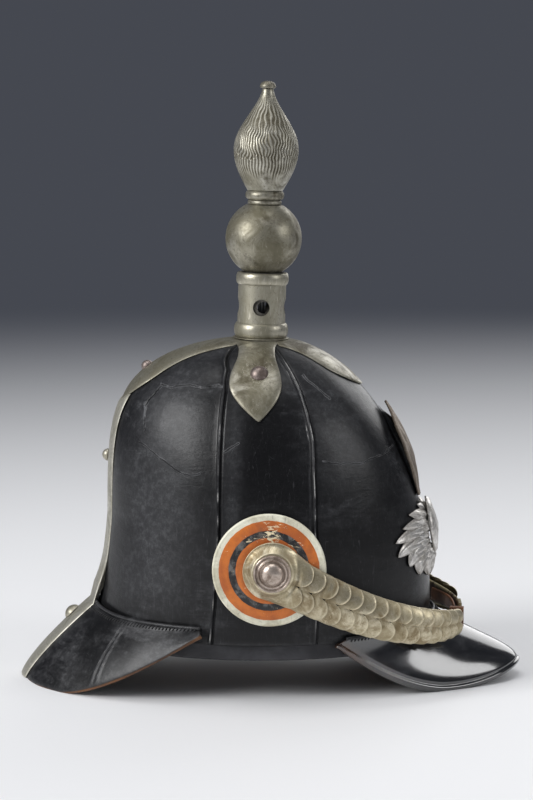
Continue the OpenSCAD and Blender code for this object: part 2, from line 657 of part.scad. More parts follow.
module cockade() {
    steps = [1, 0.95, 0.884, 0.8, 0.711, 0.65, 0.587, 0.5, 0.4, 0.3, 0.2, 0];
    last = len(steps) - 1;
    function rises(s) = cockade_dome * sqrt(1 - s * s);
    difference() {
        translate([-cockade_back, 0, cockade_seat]) rotate_extrude() polygon(concat([[cockade_r, 0]],
            [for (k = [0:last]) [cockade_r * steps[k], cockade_t + rises(steps[k])]],
            [for (k = [last:-1:1]) [cockade_r * steps[k], rises(steps[k])]], [[cockade_r - 1, 0]]));
        translate([0, 0, skull_half_w]) cylinder(r = boss_shank_r + gap, h = 20, $fn = 32);
    }
}
module right_cockade() {
    color([0.85, 0.4, 0.15]) beside() cockade();
}
module left_cockade() {
    color([0.85, 0.4, 0.15]) left() beside() cockade();
}
module boss() {
    end = boss_inner - boss_nut_t - 0.5;
    hub_top = rosette_top - rosette_t - gap;
    rotate_extrude() polygon(concat([[0, end], [boss_shank_r, end], [boss_shank_r, strap_side],
        [2 * boss_shank_r, strap_side], [2 * boss_shank_r, hub_top], [boss_shank_r, hub_top],
        [boss_shank_r, boss_seat], [boss_r, boss_seat]],
        [for (k = [0:4]) [boss_r - 1.2 + 1.2 * cos(45 * k), boss_seat + 1 + 1.2 * sin(45 * k)]],
        [[dome_r + 1, boss_seat + 1]],
        [for (k = [0:6]) [dome_r * cos(15 * k), boss_seat + 1.2 + 4.4 * sin(15 * k)]]));
}
module right_boss() {
    color([0.55, 0.5, 0.46]) beside() boss();
}
module left_boss() {
    color([0.55, 0.5, 0.46]) left() beside() boss();
}
module boss_nut() {
    translate([0, 0, boss_inner - boss_nut_t]) difference() {
        translate([-boss_nut_w / 2, -boss_nut_w / 2, 0]) cube([boss_nut_w, boss_nut_w, boss_nut_t]);
        translate([0, 0, -1]) cylinder(r = boss_shank_r + fit, h = boss_nut_t + 2, $fn = 32);
    }
}
module boss_nuts() {
    color([0.5, 0.5, 0.48]) {
        beside() boss_nut();
        left() beside() boss_nut();
    }
}

// Chin scales. The strap's line runs from the right pivot (share 0) to the middle of the front (share 1)

strap_full = 0.83;           // how squarely the line goes round the helmet: 1 is an ellipse
frame_t = 2;
buckle_half_w = front_half_w + 0.4;
// The strap's line ends where the buckle's lower edge clears the visor
strap_end_z = lookup(pivot_x + strap_reach - gap - frame_t, visor_line) + buckle_clear + buckle_half_w;
strap_drop = pivot_z - strap_end_z;
function ahead(q) = pow(max(0, sin(90 * q)), strap_full);
function strap_at(q) = [pivot_x + strap_reach * ahead(q),
    -strap_side * pow(max(0, cos(90 * q)), strap_full),
    pivot_z - strap_drop * (1 - pow(max(0, 1 - ahead(q)), 1.65))];
strap_steps = 60;
// Length along the line up to each share of it
strap_run = [for (k = 0, run = 0; k <= strap_steps;
    run = run + norm(strap_at((k + 1) / strap_steps) - strap_at(k / strap_steps)), k = k + 1)
    [run, k / strap_steps]];
strap_length = strap_run[strap_steps][0];
function share(run) = lookup(run, strap_run);
function strap_tangent(q) = q > 0.997 ? [0, 1, 0] : unit(strap_at(q + 0.002) - strap_at(max(0, q - 0.002)));
function strap_normal(q) = let (t = strap_tangent(q)) unit([t[1], -t[0], 0]);
function strap_up(q) = cross(strap_normal(q), strap_tangent(q));
function strap_w(q) = mix(scale_half_w, front_half_w, 0.57 * ahead(q) + 0.43 * pow(ahead(q), 8));
function strap_point(q, side, off) = strap_at(q) + side * strap_up(q) + off * strap_normal(q);

// Its children stand on the strap's line, with +X along it, +Y up across it and +Z out
module on_strap(q) {
    t = strap_tangent(q);
    n = strap_normal(q);
    u = strap_up(q);
    p = strap_at(q);
    multmatrix([for (k = [0:2]) [t[k], u[k], n[k], p[k]]]) children();
}
leather_share = 0.8;         // width of the leather as a share of the scales' width
scale_tilt = 6;              // rise of a scale over the one it laps, in degrees
scale_first = rosette_r + 0.8;
scale_rows = 4;
scale_cols = 9;
// One arched scale with a two-lobed free end, w to each side of its middle
module chin_scale(w) {
    arch = 0.27 * w;
    r = (w * w + arch * arch) / (2 * arch);
    // Length at the share s of the width: two round lobes with a notch between them
    function reach(s) = scale_len - w / 2 * (1 - sqrt(max(0, 1 - pow(2 * abs(s) - 1, 2))));
    function scale_at(k, c, radius) = let (s = 2 * c / (scale_cols - 1) - 1, half = asin(w / r))
        [reach(s) * k / (scale_rows - 1), radius * sin(half * s), radius * cos(half * s) - (r - arch)];
    // How far the arch lies above the leather's edges, on which it comes to rest
    over = sqrt(r * r - pow(leather_share * w, 2)) - (r - arch);
    translate([0, 0, -over]) rotate([0, -scale_tilt, 0])
        sheet([for (k = [0:scale_rows - 1]) [for (c = [0:scale_cols - 1]) scale_at(k, c, r + scale_t)]],
              [for (k = [0:scale_rows - 1]) [for (c = [0:scale_cols - 1]) scale_at(k, c, r)]]);
}
module scales() {
    for (k = [0:scale_count - 1]) {
        q = share(scale_first + k * scale_pitch);
        on_strap(q) chin_scale(strap_w(q));
    }
}
module right_scales() {
    color([0.62, 0.6, 0.45]) scales();
}
module left_scales() {
    color([0.62, 0.6, 0.45]) left() scales();
}
frame_half = 8;              // half of the buckle's length along the strap
strap_end_r = scale_half_w * leather_share;
// The strap's line carried straight on behind the pivot, where run is negative
function strap_line(run, side, off) = run > 0 ? strap_point(share(run), side, off)
    : strap_point(0, side, off) + run * strap_tangent(0);
function strap_half(run) = run > 0 ? strap_w(share(run)) * leather_share
    : sqrt(max(0, strap_end_r * strap_end_r - run * run));
strap_runs = concat([for (k = [0:6]) -strap_end_r * cos(90 * k / 7 + 6)],
                    spaced(0, strap_length - frame_half - gap, 31));
module strap() {
    function band(off) = [for (side = [-1, 1])
        [for (run = strap_runs) strap_line(run, side * strap_half(run), off)]];
    difference() {
        sheet(band(-gap), band(-gap - strap_t));
        beside() translate([0, 0, strap_in - 2]) cylinder(r = boss_shank_r + fit, h = 8, $fn = 32);
    }
}
module right_strap() {
    color([0.3, 0.2, 0.13]) strap();
}
module left_strap() {
    color([0.3, 0.2, 0.13]) left() strap();
}
module rosette() {
    r = rosette_r;
    bore = boss_shank_r + fit;
    rotate_extrude() polygon([[bore, rosette_top - rosette_t], [r - 7, rosette_top - rosette_t],
        [r - 3.5, strap_side], [r, strap_side], [r, strap_side + rosette_t],
        [r - 2.8, strap_side + rosette_t], [r - 6.3, rosette_top], [bore, rosette_top]]);
}
module right_rosette() {
    color([0.6, 0.58, 0.45]) beside() rosette();
}
module left_rosette() {
    color([0.6, 0.58, 0.45]) left() beside() rosette();
}

// Buckle, tongue and keeper at the front. Shares past the middle lie on the left side

tongue_half_w = 4.4;
tongue_t = 1.8;
function over_middle(v, side, off) = let (p = strap_point(1 - abs(v), side, off))
    [p[0], v > 0 ? -p[1] : p[1], p[2]];
// Depth of the tongue behind the strap's line: it dives under the buckle's frame
function tongue_depth(v) = gap + strap_t + gap + 1.7 * pow(max(0, 1 - pow(v / 0.24, 2)), 2);
module strap_tongue() {
    shares = spaced(-0.3, 0.34, 27);
    function band(deep) = [for (side = [-1, 1])
        [for (v = shares) over_middle(v, side * tongue_half_w, -tongue_depth(v) - deep)]];
    color([0.36, 0.2, 0.1]) sheet(band(0), band(tongue_t));
}
keeper_w = 5;
keeper_t = 1.2;
module strap_keeper() {
    q = share(strap_length - 21);
    w = strap_w(q) * leather_share;
    deep = tongue_depth(1 - q) + tongue_t + 3 * gap;
    color([0.34, 0.2, 0.11]) on_strap(q) rotate([90, 0, 90]) linear_extrude(height = keeper_w, center = true)
        difference() {
            translate([-w - gap - keeper_t, -deep - keeper_t])
                square([2 * (w + gap + keeper_t), deep + 2 * keeper_t + gap]);
            translate([-w - gap, -deep]) square([2 * (w + gap), deep + gap]);
        }
}
bar_r = 1;
bar_at = -2;
bar_deep = gap + frame_t / 2;
module buckle_frame() {
    w = buckle_half_w;
    color([0.6, 0.58, 0.5]) on_strap(1) {
        translate([0, 0, -gap - frame_t]) linear_extrude(height = frame_t) difference() {
            translate([-frame_half, -w]) square([2 * frame_half, 2 * w]);
            translate([-frame_half + 2, -w + 2]) square([2 * frame_half - 4, 2 * w - 4]);
        }
        translate([bar_at, 0, -bar_deep]) rotate([90, 0, 0])
            cylinder(r = bar_r, h = 2 * w - 3, center = true, $fn = 32);
    }
}
prong_r = 1.9;
prong_w = 3;
prong_t = 0.9;
module buckle_prong() {
    prong_reach = frame_half - bar_at - 0.5;
    color([0.55, 0.53, 0.46]) on_strap(1) translate([bar_at, 0, -bar_deep]) difference() {
        union() {
            rotate([90, 0, 0]) cylinder(r = prong_r, h = prong_w, center = true, $fn = 32);
            translate([0, 0.5 - prong_w / 2, bar_deep]) cube([prong_reach, prong_w - 1, prong_t]);
            translate([0, 0.5 - prong_w / 2, bar_r + 0.3]) cube([prong_r, prong_w - 1, bar_deep - bar_r]);
        }
        rotate([90, 0, 0]) cylinder(r = bar_r + fit, h = 2 * prong_w, center = true, $fn = 32);
    }
}

// Lining: a sweatband round the rim and tongues that a cord draws together under the crown

band_out = leather_t + 0.5;
module sweatband() {
    heights = spaced(band_low_z, band_low_z + band_h, 4);
    turns = [for (c = [0:skull_cols - 1]) c * 360 / skull_cols];
    color([0.4, 0.27, 0.17])
        sheet([for (z = heights) [for (a = turns) skin(a, z, -band_out)]],
              [for (z = heights) [for (a = turns) skin(a, z, -band_out - band_t)]], ring = true);
}
tongue_leather = 1.2;
tongue_base = band_out + band_t + gap;
liner_drop = 14;             // how much deeper than its foot a tongue hangs under the crown
liner_rows = 8;
liner_angles = spaced(climb(band_low_z + band_h - 8), 76, liner_rows);
module liner_tongues() {
    half = 150 / tongue_count;
    // Point of the tongue k at its row r, on its left, middle or right line, deep under its outer face
    function tongue_at(k, r, side, deep) = let (t = r / (liner_rows - 1),
        a = (k + 0.5) * 360 / tongue_count + side * half * mix(1, 0.7, t))
        skin(a, height(liner_angles[r]), -tongue_base - liner_drop * t - deep);
    function face(k, deep) = [for (r = [0:liner_rows - 1])
        [for (side = [-1, 0, 1]) tongue_at(k, r, side, deep)]];
    color([0.5, 0.36, 0.24]) for (k = [0:tongue_count - 1]) sheet(face(k, 0), face(k, tongue_leather));
}
module liner_cord() {
    a = liner_angles[liner_rows - 1];
    deep = tongue_base + liner_drop + tongue_leather + gap + 0.9;
    tip_f = skin(0, height(a), -deep);
    tip_s = skin(90, height(a), -deep);
    color([0.6, 0.55, 0.42]) translate([axis_x, 0, min(tip_f[2], tip_s[2])])
        rotate_extrude() translate([tip_s[1], 0]) circle(r = 0.9, $fn = 16);
}

skull();
front_visor();
neck_guard();
sweatband();
liner_tongues();
liner_cord();
cross_mount();
arm_studs();
back_spine();
spine_studs();
stud_nuts();
vent_tube();
vent_sleeve();
finial_ball();
finial_collar();
finial_flame();
finial_cap();
finial_rod();
rod_washer();
rod_nut();
plate_star();
plate_crest();
plate_disc();
plate_posts();
plate_nuts();
right_cockade();
left_cockade();
right_boss();
left_boss();
boss_nuts();
right_rosette();
left_rosette();
right_scales();
left_scales();
right_strap();
left_strap();
strap_tongue();
strap_keeper();
buckle_frame();
buckle_prong();
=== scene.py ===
import math
import bmesh
import bpy
import numpy as np
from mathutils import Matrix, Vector


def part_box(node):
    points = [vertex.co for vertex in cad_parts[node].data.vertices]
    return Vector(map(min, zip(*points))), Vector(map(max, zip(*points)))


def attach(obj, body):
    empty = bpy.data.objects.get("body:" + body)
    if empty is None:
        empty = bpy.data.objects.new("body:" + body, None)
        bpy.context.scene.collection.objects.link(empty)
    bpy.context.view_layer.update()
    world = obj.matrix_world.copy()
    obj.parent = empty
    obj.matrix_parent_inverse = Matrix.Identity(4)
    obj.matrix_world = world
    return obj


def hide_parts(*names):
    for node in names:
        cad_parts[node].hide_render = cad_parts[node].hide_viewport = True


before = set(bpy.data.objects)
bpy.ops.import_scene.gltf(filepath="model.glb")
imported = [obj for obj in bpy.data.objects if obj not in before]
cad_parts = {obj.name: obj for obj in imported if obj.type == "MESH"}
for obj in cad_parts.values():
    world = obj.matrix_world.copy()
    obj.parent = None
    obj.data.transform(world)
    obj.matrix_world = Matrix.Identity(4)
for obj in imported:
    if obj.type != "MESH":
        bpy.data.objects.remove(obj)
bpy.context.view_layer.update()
print("frame loaded:", len(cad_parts), "nodes")

# Sizes below are in millimetres, in the helmet's own frame: +X front, +Z up, -Y the wearer's right.

# Camera, set where the photographer stood

cameraSet = {"azimuth": 1.0, "elevation": 7.5, "distance": 1.84, "aim": (-0.0026, 0.0, 0.190), "lens": 121.5}


def placed(name, data, place, aim):  # a camera or lamp at a place, that looks at the aim
    made = bpy.data.objects.new(name, data)
    bpy.context.scene.collection.objects.link(made)
    made.location = place
    made.rotation_mode = "QUATERNION"
    made.rotation_quaternion = (Vector(aim) - Vector(place)).to_track_quat("-Z", "Y")
    return made


def addCamera(look):
    turn, rise = math.radians(look["azimuth"]), math.radians(look["elevation"])
    back = Vector((math.sin(turn) * math.cos(rise), -math.cos(turn) * math.cos(rise), math.sin(rise)))
    lens = bpy.data.cameras.new("camera")
    lens.lens = look["lens"]
    lens.sensor_width = 36
    lens.clip_start, lens.clip_end = 0.05, 20
    aim = Vector(look["aim"])
    bpy.context.scene.camera = placed("camera", lens, aim + back * look["distance"], aim)


addCamera(cameraSet)


# Small helpers for numpy surfaces

quarter = math.pi / 2


def grid(a, b):  # two arrays spread over rows and columns
    return np.meshgrid(a, b, indexing="ij")


def evenly(count):  # shares from 0 to 1
    return np.linspace(0, 1, count)


def circle(count):  # angles once round, without the last
    return np.linspace(0, 2 * math.pi, count, endpoint=False)


def crowded(count):  # shares from -1 to 1 that crowd towards both ends
    return np.sin(np.linspace(-1, 1, count) * quarter)


def held(x):  # kept between 0 and 1
    return np.clip(x, 0, 1)


def unit(v):
    return v / np.maximum(np.linalg.norm(v, axis=-1, keepdims=True), 1e-12)


def mix(a, b, t):
    return a + (b - a) * t


def smooth(low, high, x):  # 0 below low, 1 above high, with an S between
    t = held((x - low) / (high - low))
    return t * t * (3 - 2 * t)


def bell(x, width):  # a bump of height 1 at x = 0
    return np.exp(-(x / width) ** 2)


def rounded(x, power):  # height of a rounded profile, from 1 in the middle down to 0 at x = -1 and x = 1
    return np.sqrt(held(1 - np.abs(x) ** power))


def ripple(points, size, seed):  # soft random waves from -1 to 1: six sines with seeded directions
    rng = np.random.default_rng(seed)
    total = 0
    for _ in range(6):
        way = unit(rng.normal(size=3)) * 2 * math.pi / (size * rng.uniform(0.6, 1.7))
        total = total + np.sin(points @ way + rng.uniform(0, 6.28))
    return total / 3.2


def shell(top, under, wearAndSheen=0.0, shade=0.0, back=0.0, wrap="r"):
    # A closed sheet from its upper and its under face. back is the under face's shade; on metal sheets it is painted
    # shade where that face lies under the sheet
    paints = [np.concatenate([np.broadcast_to(a, top.shape[:2]), np.broadcast_to(b, under.shape[:2])])
              for a, b in ((wearAndSheen, 0), (shade, back))]
    return {"points": np.concatenate([top, under[::-1]]), "wrap": wrap, "wearAndSheen": paints[0], "shade": paints[1]}


def gridFaces(rows, cols, wrap, start):
    # Quads (r, c), (r, c+1), (r+1, c+1), (r+1, c) of a grid whose point (r, c) has number r * cols + c
    r, c = grid(np.arange(rows if "r" in wrap else rows - 1), np.arange(cols if "c" in wrap else cols - 1))
    r, c = r.ravel(), c.ravel()
    r2, c2 = (r + 1) % rows, (c + 1) % cols
    return start + np.stack([r * cols + c, r * cols + c2, r2 * cols + c2, r2 * cols + c], 1)


def addPiece(name, sheets, material, body, replaces=()):
    # sheets: dictionaries with "points" (rows, cols, 3) in mm, the directions in which they close ("wrap", such as
    # "rc"), and the two paints, of wear with painted sheen and painted highlights, and of shade (tarnish, raw edges
    # and painted shade)
    points, faces, start, paints = [], [], 0, {"wearAndSheen": [], "shade": []}
    for sheet in sheets:
        p = np.asarray(sheet["points"], float)
        rows, cols = p.shape[:2]
        faces.append(gridFaces(rows, cols, sheet["wrap"], start))
        points.append(p.reshape(-1, 3) / 1000)
        for key, values in paints.items():
            values.append(np.broadcast_to(sheet.get(key, 0.0), (rows, cols)).ravel())
        start += rows * cols
    points, faces = np.concatenate(points), np.concatenate(faces)
    mesh = bpy.data.meshes.new(name)
    mesh.vertices.add(len(points))
    mesh.vertices.foreach_set("co", points.ravel())
    mesh.loops.add(faces.size)
    mesh.loops.foreach_set("vertex_index", faces.ravel())
    mesh.polygons.add(len(faces))
    mesh.polygons.foreach_set("loop_start", np.arange(len(faces)) * 4)
    for key, values in paints.items():
        layer = mesh.attributes.new(key, "FLOAT", "POINT")
        layer.data.foreach_set("value", np.concatenate(values).astype(np.float32))
    mesh.update(calc_edges=True)
    # Close seams and poles, and point the faces outwards
    work = bmesh.new()
    work.from_mesh(mesh)
    bmesh.ops.remove_doubles(work, verts=work.verts, dist=2e-6)
    bmesh.ops.dissolve_degenerate(work, edges=work.edges, dist=1e-7)
    holes = [e for e in work.edges if e.is_boundary]
    if holes:
        bmesh.ops.holes_fill(work, edges=holes, sides=0)
    bmesh.ops.recalc_face_normals(work, faces=work.faces)
    for face in work.faces:
        face.smooth = True
    work.to_mesh(mesh)
    work.free()
    mesh.materials.clear()
    mesh.materials.append(material)
    piece = bpy.data.objects.new(name, mesh)
    bpy.context.scene.collection.objects.link(piece)
    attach(piece, body)
    if replaces:
        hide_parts(*replaces)
    return piece


def roundEdge(top, under, steps):
    # Rows that round off the outer edge between the last rows of two sheets
    middle = (top[-1] + under[-1]) / 2
    out = unit(top[-1] - top[-2])
    half = (top[-1] - under[-1]) / 2
    reach = np.linalg.norm(half, axis=-1, keepdims=True)
    angles = np.linspace(quarter, -quarter, steps + 2)[1:-1]
    return np.stack([middle + half * math.sin(a) + out * reach * math.cos(a) for a in angles])


# Materials


def startMaterial(name):
    made = bpy.data.materials.new(name)
    made.use_nodes = True
    return made, made.node_tree, made.node_tree.nodes["Principled BSDF"]


def feed(tree, node, **inputs):
    # Links sockets and sets plain values: i0, i1 and so on name inputs by number, in other names _ stands for a blank
    for key, value in inputs.items():
        place = node.inputs[int(key[1:]) if key[0] == "i" and key[1:].isdigit() else key.replace("_", " ")]
        if isinstance(value, bpy.types.NodeSocket):
            tree.links.new(value, place)
        else:
            place.default_value = value
    return node


def put(tree, kind, settings=None, **inputs):
    made = tree.nodes.new(kind)
    for key, value in (settings or {}).items():
        setattr(made, key, value)
    return feed(tree, made, **inputs)


def noise(tree, where, scale, detail=4.0, rough=0.55, warp=0.0):
    return put(tree, "ShaderNodeTexNoise", Vector=where, Scale=scale, Detail=detail, Roughness=rough,
               Distortion=warp).outputs["Fac"]


def hairlines(tree, where, scale, width, seed, turn=(0.0, 0.0, 0.0)):
    # Thin, nearly straight scratches: where a noise drawn out along one direction passes its middle value
    drawn = put(tree, "ShaderNodeMapping", Vector=where, Location=(seed, seed * 0.7, -seed), Rotation=turn,
                Scale=(scale, scale, scale * 0.09)).outputs[0]
    away = calc(tree, "ABSOLUTE", calc(tree, "SUBTRACT", noise(tree, drawn, 1.0, 1, 0.4), 0.5))
    parts = noise(tree, stretched(tree, drawn, (0.35, 0.35, 2.6)), 1.0, 2, 0.5)
    return times(tree, span(tree, away, 0.0, width, 1.0, 0.0), span(tree, parts, 0.54, 0.62))


def stretched(tree, where, scale):
    return put(tree, "ShaderNodeMapping", Vector=where, Scale=scale).outputs[0]


def calc(tree, kind, a, b=0.0, clamp=False):
    return put(tree, "ShaderNodeMath", {"operation": kind, "use_clamp": clamp}, i0=a, i1=b).outputs[0]


def times(tree, a, b, clamp=False):
    return calc(tree, "MULTIPLY", a, b, clamp)


def larger(tree, a, b, clamp=False):
    return calc(tree, "MAXIMUM", a, b, clamp)


def vector(tree, kind, *values, result=0, **inputs):  # a vector node with its first inputs in order
    return put(tree, "ShaderNodeVectorMath", {"operation": kind}, **{"i%d" % k: v for k, v in enumerate(values)},
               **inputs).outputs[result]


def span(tree, value, low, high, to0=0.0, to1=1.0):
    return put(tree, "ShaderNodeMapRange", {"interpolation_type": "SMOOTHSTEP"}, Value=value, From_Min=low,
               From_Max=high, To_Min=to0, To_Max=to1).outputs[0]


def blendColour(tree, share, a, b):
    a, b = ((*k, 1) if isinstance(k, tuple) else k for k in (a, b))
    return put(tree, "ShaderNodeMix", {"data_type": "RGBA"}, i0=share, i6=a, i7=b).outputs[2]


def tint(tree, colour, share, amount, other, clamp=False):  # lays another colour over one, by share times amount
    return blendColour(tree, times(tree, share, amount, clamp), colour, other)


def bumped(tree, height, strength, distance, below=None):
    made = put(tree, "ShaderNodeBump", Height=height, Strength=strength, Distance=distance / 1000)
    return (feed(tree, made, Normal=below) if below else made).outputs[0]


def objectPlace(tree):
    return put(tree, "ShaderNodeTexCoord").outputs["Object"]


def painted(tree, key):
    return put(tree, "ShaderNodeAttribute", {"attribute_name": key}).outputs["Fac"]


def lineDistance(tree, where, paths):
    # Distance in metres, seen from the helmet's side, to the nearest of some paths of points (x, z) in mm
    where = vector(tree, "MULTIPLY", where, (1.0, 0.0, 1.0))
    nearest = None
    for path in paths:
        for start, end in zip(path, path[1:]):
            a, b = (Vector((x, 0, z)) / 1000 for x, z in (start, end))
            away = vector(tree, "SUBTRACT", where, a)
            along = vector(tree, "DOT_PRODUCT", away, b - a, result="Value")
            share = calc(tree, "DIVIDE", along, (b - a).length_squared, clamp=True)
            gone = vector(tree, "DISTANCE", away, vector(tree, "SCALE", b - a, Scale=share), result="Value")
            nearest = gone if nearest is None else calc(tree, "MINIMUM", nearest, gone)
    return nearest


leatherSet = {"black": (0.005, 0.005, 0.0055), "worn": (0.05, 0.051, 0.056), "dustAndSheen": (0.15, 0.152, 0.16),
              "bare": (0.46, 0.45, 0.43), "brown": (0.1, 0.045, 0.02), "gloss": 0.27, "dull": 0.5, "shine": 0.26}

# Long creases of the lacquer on the right (-1) and left (1) side: paths of points (x, z)
creases = {-1: [[(-87.3, 169), (-78.9, 163), (-68.5, 157), (-54.3, 149.8), (-46.5, 151)],
                [(-73.1, 206), (-66, 203.5), (-52.4, 205.8), (-31.6, 206)],
                [(-83.3, 176), (-82.2, 191.8), (-73.2, 204.8)], [(-29.5, 165.2), (-19.5, 171)],
                [(35.9, 158.8), (63.5, 156.2), (75.8, 158.8), (86, 165)], [(22, 213), (41, 198)]],
           1: [[(-80, 166), (-60, 158), (-30, 166)], [(30, 150), (58, 166)]]}


def makeLeather(name, look, paths=None, coat=0.08, edgeBrown=0.0, glossy=0.0):
    # Black lacquer over leather: fine pores; grey haze where it was rubbed, and where wear is painted, which on the
    # skull and guard is also painted sheen; bare spots where that paint is strong, which on the ribs are painted
    # highlights; hair scratches and creases. The shade paint keeps the rubbed haze away, which on the skull is
    # painted shade, and browns a raw edge by edgeBrown
    made, tree, shader = startMaterial(name)
    here = objectPlace(tree)
    grain = noise(tree, here, 300, 5, 0.62)
    cloud = noise(tree, here, 17, 6, 0.62, 0.3)
    scuffs = noise(tree, stretched(tree, here, (34, 34, 120)), 1.0, 8, 0.72, 0.6)
    rubbed = times(tree, span(tree, cloud, 0.4, 0.7), span(tree, scuffs, 0.35, 0.72))
    # Painted shade: the rubbed haze is left off where shade is painted
    rubbed = times(tree, rubbed, calc(tree, "SUBTRACT", 1.0, painted(tree, "shade")))
    wearAndSheen = painted(tree, "wearAndSheen")
    worn = larger(tree, rubbed, wearAndSheen, True)
    colour = tint(tree, look["black"], worn, 0.7 - 0.4 * glossy, look["worn"])
    mottle = span(tree, noise(tree, here, 210, 8, 0.8), 0.42, 0.68)
    colour = tint(tree, colour, times(tree, mottle, worn), 0.5, look["dustAndSheen"])
    fine = larger(tree, hairlines(tree, here, 330, 0.011, 3.1, (0.9, 0.5, 0)),
                  larger(tree, hairlines(tree, here, 260, 0.009, 7.7, (0.6, 1.3, 0.3)),
                         hairlines(tree, here, 390, 0.011, 5.2, (0.3, -0.9, 0.7))))
    colour = tint(tree, colour, fine, 0.16, look["dustAndSheen"])
    # Bare spots, and on the skull's ribs painted highlight lines, where the painted wear is strong
    rubs = times(tree, span(tree, wearAndSheen, 0.55, 0.95), span(tree, grain, 0.36, 0.56))
    colour = tint(tree, colour, rubs, 0.8, look["bare"])
    ruts = None
    if paths:
        wobble = put(tree, "ShaderNodeTexNoise", Vector=here, Scale=42.0, Detail=5.0).outputs["Color"]
        shift = vector(tree, "MULTIPLY_ADD", wobble, (0.009, 0.009, 0.009), (-0.0045, -0.0045, -0.0045))
        moved = vector(tree, "ADD", here, shift)
        across = put(tree, "ShaderNodeSeparateXYZ", Vector=here).outputs["Y"]
        away = 1.0
        for side in (-1, 1):
            other = span(tree, times(tree, across, side), -0.001, 0.001, 1.0, 0.0)
            away = calc(tree, "MINIMUM", away, calc(tree, "ADD", lineDistance(tree, moved, paths[side]), other))
        broken = span(tree, noise(tree, here, 90, 4, 0.6), 0.36, 0.5)
        ruts = times(tree, span(tree, away, 0.0, 0.0006, 1.0, 0.0), broken)
        lips = times(tree, span(tree, away, 0.0004, 0.001, 1.0, 0.0),
                     times(tree, span(tree, grain, 0.2, 0.5), span(tree, noise(tree, here, 55, 4), 0.4, 0.58)))
        colour = tint(tree, colour, lips, 0.6, look["dustAndSheen"])
        colour = blendColour(tree, ruts, colour, look["black"])
    colour = tint(tree, colour, painted(tree, "shade"), edgeBrown, look["brown"])
    rough = put(tree, "ShaderNodeMapRange", Value=worn, To_Min=look["gloss"], To_Max=look["dull"]).outputs[0]
    rough = calc(tree, "ADD", rough, times(tree, grain, 0.1))
    normal = bumped(tree, grain, 0.3 - 0.22 * glossy, 0.35)
    normal = bumped(tree, cloud, 0.3 - 0.15 * glossy, 1.4, normal)
    normal = bumped(tree, scuffs, 0.4 - 0.36 * glossy, 0.7, normal)
    if ruts is not None:
        normal = bumped(tree, calc(tree, "SUBTRACT", lips, times(tree, ruts, 2.0)), 0.6, 0.5, normal)
    feed(tree, shader, Base_Color=colour, Roughness=rough, Normal=normal, Coat_Weight=coat,
         Coat_Roughness=0.16 - 0.05 * glossy, Coat_IOR=1.5 + 0.35 * glossy, Specular_IOR_Level=look["shine"])
    return made


metalSet = {
    "spine": {"light": (0.6, 0.58, 0.51), "dark": (0.25, 0.24, 0.195), "green": (0.42, 0.405, 0.34), "rough": 0.5},
    "tube": {"light": (0.56, 0.53, 0.445), "dark": (0.18, 0.165, 0.12), "green": (0.36, 0.34, 0.26), "rough": 0.38,
             "metallic": 0.75},
    "nickel": {"light": (0.42, 0.4, 0.335), "dark": (0.085, 0.072, 0.045), "green": (0.22, 0.205, 0.145),
               "rough": 0.42, "metallic": 0.72},
    "flame": {"light": (0.5, 0.485, 0.42), "dark": (0.09, 0.077, 0.05), "green": (0.24, 0.225, 0.165), "rough": 0.4,
              "metallic": 0.75},
    "steel": {"light": (0.36, 0.3, 0.275), "dark": (0.12, 0.09, 0.08), "green": (0.22, 0.175, 0.155), "rough": 0.46},
    "boss": {"light": (0.74, 0.64, 0.56), "dark": (0.26, 0.2, 0.16), "green": (0.52, 0.43, 0.37), "rough": 0.37},
    "scale": {"light": (0.72, 0.655, 0.49), "dark": (0.27, 0.21, 0.12), "green": (0.52, 0.46, 0.31), "rough": 0.4},
    "silver": {"light": (0.84, 0.82, 0.79), "dark": (0.36, 0.34, 0.31), "green": (0.62, 0.59, 0.55), "rough": 0.36},
    "crest": {"light": (0.42, 0.36, 0.3), "dark": (0.13, 0.1, 0.075), "green": (0.25, 0.2, 0.16), "rough": 0.42},
    "brass": {"light": (0.55, 0.46, 0.28), "dark": (0.25, 0.18, 0.09), "green": (0.36, 0.3, 0.16), "rough": 0.38},
    "plain": {"light": (0.42, 0.42, 0.41), "dark": (0.19, 0.185, 0.175), "green": (0.3, 0.295, 0.28), "rough": 0.42},
    # The sleeve's colours are very dark: a painted shade for the inside of the vent tube
    "sleeve": {"light": (0.2, 0.19, 0.17), "dark": (0.07, 0.065, 0.06), "green": (0.12, 0.115, 0.1), "rough": 0.5}}


